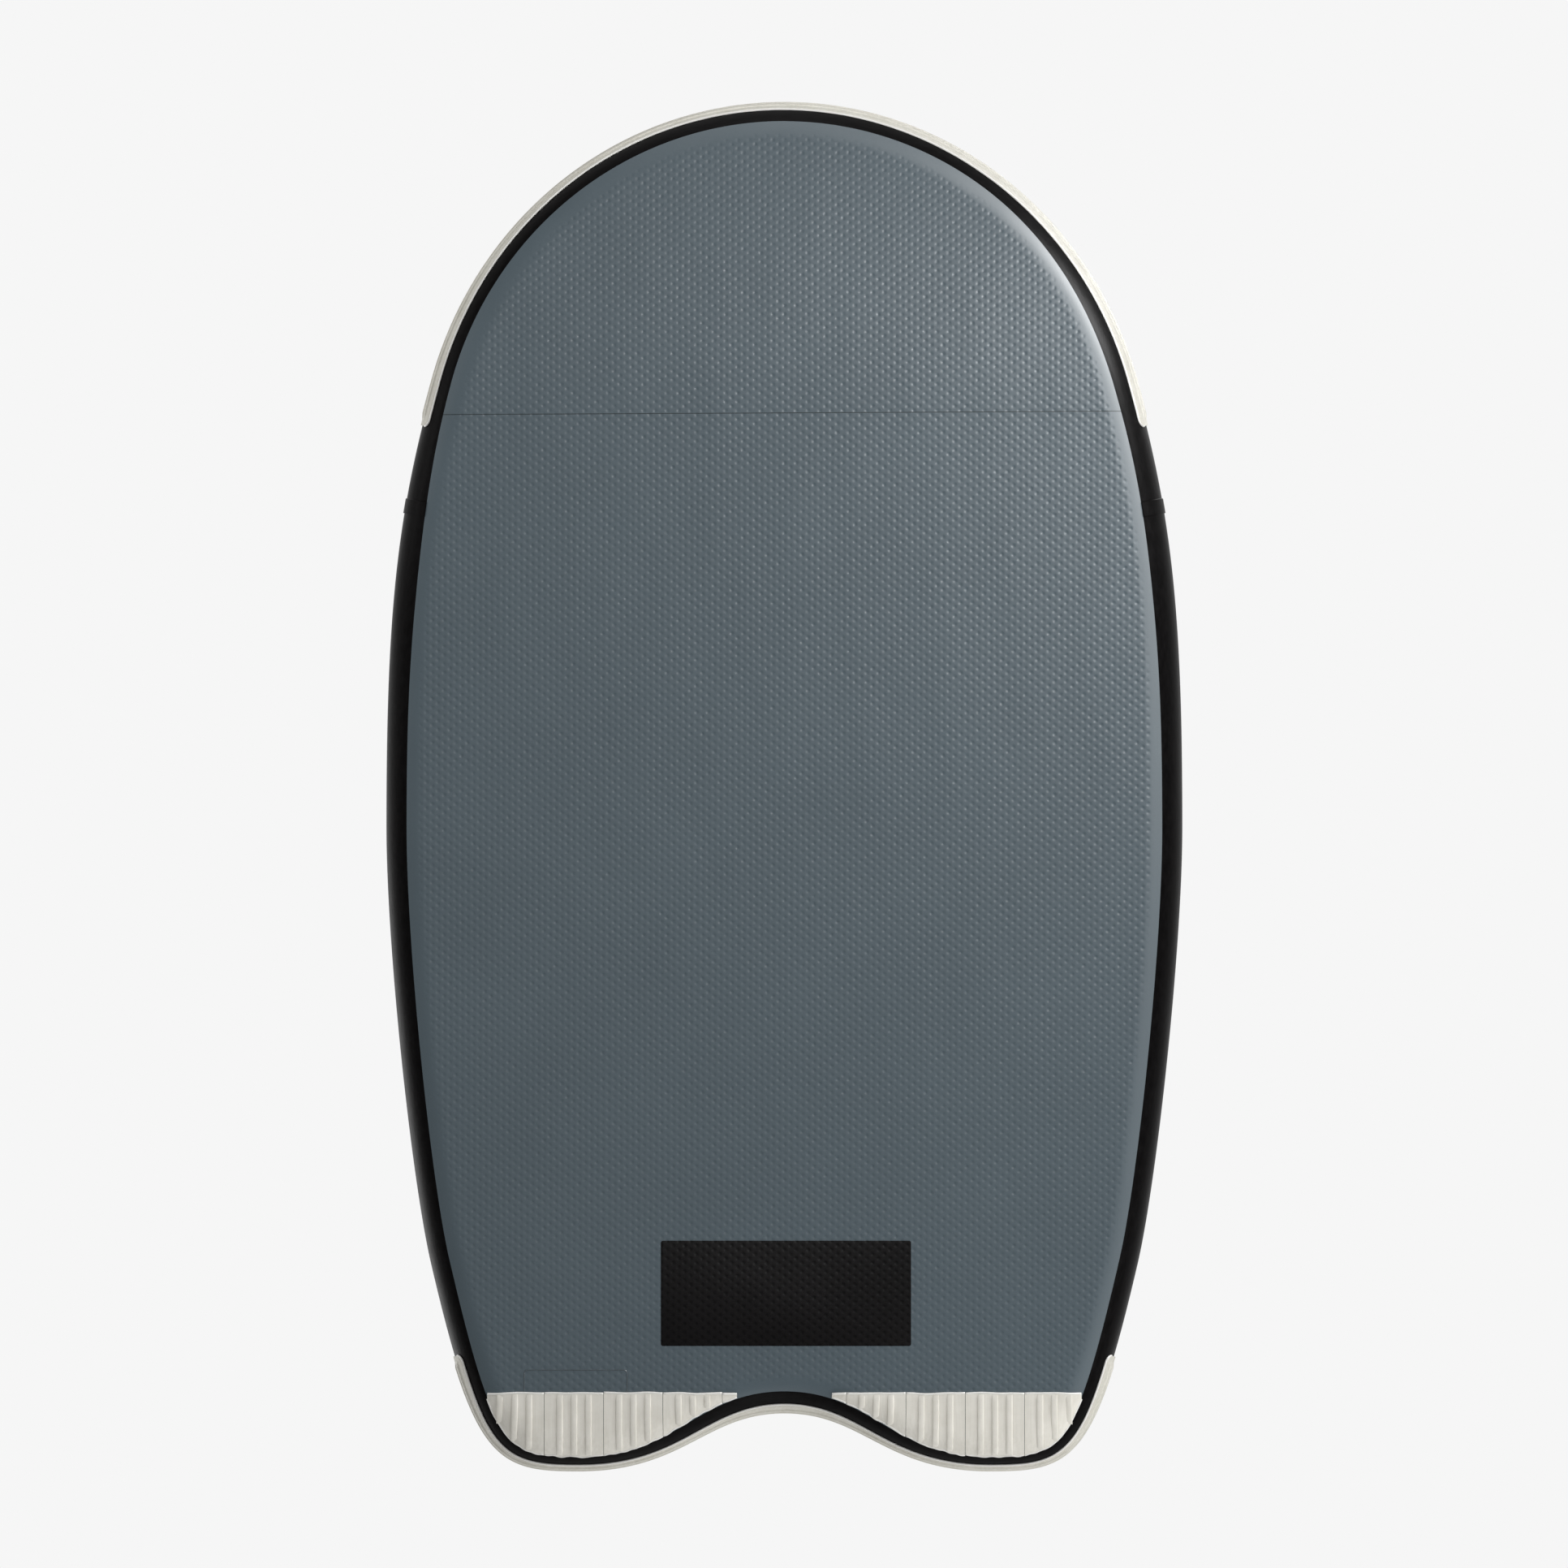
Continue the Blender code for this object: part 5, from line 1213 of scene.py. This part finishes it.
def ring_line():
    """Middle of the wire: the straight bar lies along X and the bow points away from the tail."""
    arcs = (((RING_HALF - RING_BEND, -RING_BEND), RING_BEND, 90, 0, 10),
            ((0.0, -RING_LEG - RING_BEND), RING_HALF, 0, -180, 48),
            ((-RING_HALF + RING_BEND, -RING_BEND), RING_BEND, 180, 90, 10))
    line = [(x + radius * math.cos(turn), y + radius * math.sin(turn), 0.0)
            for (x, y), radius, start, end, steps in arcs for turn in np.radians(np.linspace(start, end, steps + 1))]
    return line + line[:1]


def loop_line():
    """Middle of the webbing in the loop: in along the tail, round the bar and back."""
    low, high = -0.0049 + RING_PLY / 2 + 0.00002, -0.0019 - RING_PLY / 2
    centre_z = high + LOOP_FILLET
    centre_y = math.sqrt((RING_EYE + LOOP_FILLET) ** 2 - centre_z**2)
    meet = math.degrees(math.atan2(centre_z, centre_y))
    line = [(y, low) for y in (RING_TAIL, 0.030, 0.020, 0.010, 0.004)]
    for turn in np.radians(np.linspace(-90, -360 + meet, 36)):
        line.append((RING_EYE * math.cos(turn), RING_EYE * math.sin(turn)))
    for turn in np.radians(np.linspace(180 + meet, 270, 8)[1:]):
        line.append((centre_y + LOOP_FILLET * math.cos(turn), centre_z + LOOP_FILLET * math.sin(turn)))
    return line + [(y, high) for y in (0.012, 0.020, 0.030, RING_TAIL)]


steel, tree, shader = finish("brushed_stainless", 0.28, metallic=1.0)
draw = speckle(tree, object_place(tree, (3.0, 1.0, 1.0)), 380.0, 3.0)
tinted(tree, shader, (0.50, 0.51, 0.52), (0.66, 0.67, 0.68), draw)
roughened(tree, shader, draw, 0.20, 0.36)
bumped(tree, shader, draw, 0.00006)

slope = Matrix.Rotation(math.radians(NOSE_SLOPE), 4, "X")
RINGS = {
    "nose": Matrix.Translation((0.0, NOSE_RING_Y, NOSE_RING_Z)) @ slope,
    "port": on_deck(0.45306, -0.4852, 18.0),
    "starboard": on_deck(-0.45306, -0.4852, -18.0),
    "tail_port": on_deck(0.330, 0.930, 180.0),
    "tail_starboard": on_deck(-0.330, 0.930, 180.0),
}
turns = np.linspace(0, 2 * math.pi, 73)[:-1]
disc = [Vector((RING_PATCH * math.cos(t), RING_PATCH * math.sin(t))) for t in turns]
for spot, stand in RINGS.items():
    name = f"tow_ring_{spot}"
    glued = patch_shell(disc)
    if spot == "nose":
        glued.transform(on_deck(0.0, NOSE_RING_Y, 0.0))
        glued = kicked(glued)
    else:
        glued.transform(stand)
    piece(f"{name}_glued_patch", glued, cloth_patch, "patch", f"{name}_patch")
    pivot = stand @ Matrix.Translation((0.0, 0.0, RING_DROP))
    loop = webbing(loop_line(), LOOP_WIDTH, RING_PLY, pivot, tag=0.05)
    piece(f"{name}_webbing_loop", loop, woven_strap, "webbing", f"{name}_loop", crease=60)
    wire = grown([ring_line()], round_wire, Radius=RING_WIRE / 2, Finish=steel)
    wire.transform(pivot)
    piece(f"{name}_steel_ring", joined(wire), steel, "steel", f"{name}_ring", body=f"ring_{spot}", crease=60)
    sewn(f"{name}_stitches", [boxed_cross(*LOOP_BOX)], LOOP_SEWN, pivot)

# The inflation valve: a moulded nylon body clamped through the deck skin on a rubber seal by a backing
# nut, with a guide for a sprung stem inside, and a push-in cap hinged to a ring held under the flange.

VALVE_SIDES = 96
STEM_SIDES = 48
CAP_SIDES = 192
CAP_LOBES = 36
FLANGE = 0.0300
BARREL = 0.0212
BORE = 0.0170
HINGE_Y = 0.805
SPRING_LOW, SPRING_HIGH, SPRING_TURNS = 0.13275, 0.14475, 5
SPRING_RADIUS, SPRING_WIRE = 0.0049, 0.00045


def turned(rows, sides=VALVE_SIDES, hollow=True):
    """A shell turned about the valve's axis through rows of radius, height and, if lobed, depth of the lobes;
    a hollow one closes back on its first row."""
    bm = bmesh.new()
    rings = []
    for radius, height, *lobed in rows:
        rings.append([])
        for t in np.linspace(0.0, 2 * math.pi, sides + 1)[:-1]:
            r = radius - sum(lobed) * (0.5 - 0.5 * math.cos(CAP_LOBES * t)) ** 2
            rings[-1].append(bm.verts.new((VALVE_SPOT[0] + r * math.sin(t), VALVE_SPOT[1] + r * math.cos(t), height)))
    if hollow:
        rings.append(rings[0])
    banded(bm, rings)
    if not hollow:
        bm.faces.new(rings[0])
        bm.faces.new(rings[-1])
    return bm


def block(x, y, z, ease, turn=0.0):
    """A block with eased edges, about the valve's axis."""
    bm = bmesh.new()
    bmesh.ops.create_cube(bm, size=1.0)
    size = Matrix.Diagonal((x[1] - x[0], y[1] - y[0], z[1] - z[0], 1))
    bm.transform(Matrix.Translation(((x[0] + x[1]) / 2, (y[0] + y[1]) / 2, (z[0] + z[1]) / 2)) @ size)
    bmesh.ops.bevel(bm, geom=bm.edges[:], offset=ease, segments=3, profile=0.5, affect="EDGES")
    bm.transform(Matrix.Translation((*VALVE_SPOT, 0.0)) @ Matrix.Rotation(turn, 4, "Z"))
    return bm


nylon, tree, shader = finish("dark_grey_nylon", 0.48, specular=0.4)
place = object_place(tree)
haze = speckle(tree, place, 90.0, 3.0)
tinted(tree, shader, (0.042, 0.044, 0.047), (0.066, 0.068, 0.072), haze)
bumped(tree, shader, speckle(tree, place, 1300.0, 2.0), 0.00008)
roughened(tree, shader, haze, 0.40, 0.56)

soft_rubber, tree, shader = finish("black_seal_rubber", 0.7, specular=0.3)
tinted(tree, shader, (0.010, 0.010, 0.010), (0.020, 0.020, 0.020), speckle(tree, object_place(tree), 300.0))

seal = turned((
    (FLANGE, 0.1547), (FLANGE, 0.1539), (FLANGE - 0.0002, 0.1538), (BARREL + FIT, 0.1538),
    (BARREL + FIT, 0.1548), (FLANGE - 0.0002, 0.1548),
))
piece("valve_rubber_seal", seal, soft_rubber, "seal", "valve_seal")

body = turned((
    (FLANGE - 0.0014, 0.1581), (FLANGE - 0.0005, 0.1578), (FLANGE, 0.1570), (FLANGE, 0.1552),
    (FLANGE - 0.0001, 0.1551), (BARREL, 0.1551), (BARREL, 0.1197), (BARREL - 0.0002, 0.1195),
    (0.0127, 0.1195), (0.0125, 0.1197), (0.0125, 0.1225), (BORE, 0.1255), (BORE, 0.1578), (BORE + 0.0003, 0.1581),
))
hub = turned((
    (0.0060, 0.1320), (0.0062, 0.1318), (0.0062, 0.1282), (0.0060, 0.1280), (0.0033, 0.1280), (0.0033, 0.1320),
), STEM_SIDES)
spokes = [block((0.0055, 0.0176), (-0.0015, 0.0015), (0.1284, 0.1316), 0.0004, k * 2 * math.pi / 3)
          for k in range(3)]
piece("valve_moulded_body", joined(body, hub, *spokes), nylon, "valve", "valve_body")

stem = turned((
    (0.0062, 0.1485), (0.0067, 0.1482), (0.0068, 0.1477), (0.0068, 0.1458), (0.0065, 0.1455), (0.0034, 0.1455),
    (0.0030, 0.1451), (0.0030, 0.1194), (0.0034, 0.1192), (0.0152, 0.1192), (0.0155, 0.1189), (0.0155, 0.1165),
    (0.0152, 0.1162),
), STEM_SIDES, hollow=False)
piece("valve_push_stem", stem, nylon, "valve", "valve_stem", body="stem")

coil = []
for t in np.linspace(0.0, 1.0, SPRING_TURNS * 32 + 1):
    turn = 2 * math.pi * SPRING_TURNS * t
    coil.append((VALVE_SPOT[0] + SPRING_RADIUS * math.cos(turn), VALVE_SPOT[1] + SPRING_RADIUS * math.sin(turn),
                 SPRING_LOW + (SPRING_HIGH - SPRING_LOW) * t))
wire = grown([coil], round_wire, Radius=SPRING_WIRE, Finish=steel)
spring = piece("valve_return_spring", joined(wire), steel, "steel", "valve_spring", crease=60)
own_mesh(spring)

coated(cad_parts["valve_nut"].data, nylon)

cap = turned((
    (0.0100, 0.16105), (0.0160, 0.16105), (0.0172, 0.1613), (0.0180, 0.1614), (0.0252, 0.1614),
    (0.0264, 0.1611, 0.0003), (0.0270, 0.1604, 0.0006), (0.0270, 0.1589, 0.0006), (0.0267, 0.1584, 0.0004),
    (0.0166, 0.1584), (0.0165, 0.1580), (0.0165, 0.1552), (0.0153, 0.1541),
), CAP_SIDES, hollow=False)
ear = block((-0.005, 0.005), (HINGE_Y - VALVE_SPOT[1] + 0.00015, -0.0240), (0.1584, 0.1604), 0.0005)
piece("valve_push_in_cap", joined(cap, ear), nylon, "valve", "valve_cap", body="cap")

tether = turned((
    (0.0335, 0.1556), (0.0335, 0.1540), (0.0333, 0.1538), (0.0303, 0.1538), (0.0303, 0.1558), (0.0333, 0.1558),
))
lug = block((-0.005, 0.005), (HINGE_Y - VALVE_SPOT[1] - 0.00015, -0.0310), (0.15435, 0.1581), 0.0005)
piece("valve_tether_ring", joined(tether, lug), nylon, "valve", "valve_tether")

for pattern in (rib_profile, bead_profile, stitch):
    bpy.data.objects.remove(pattern)
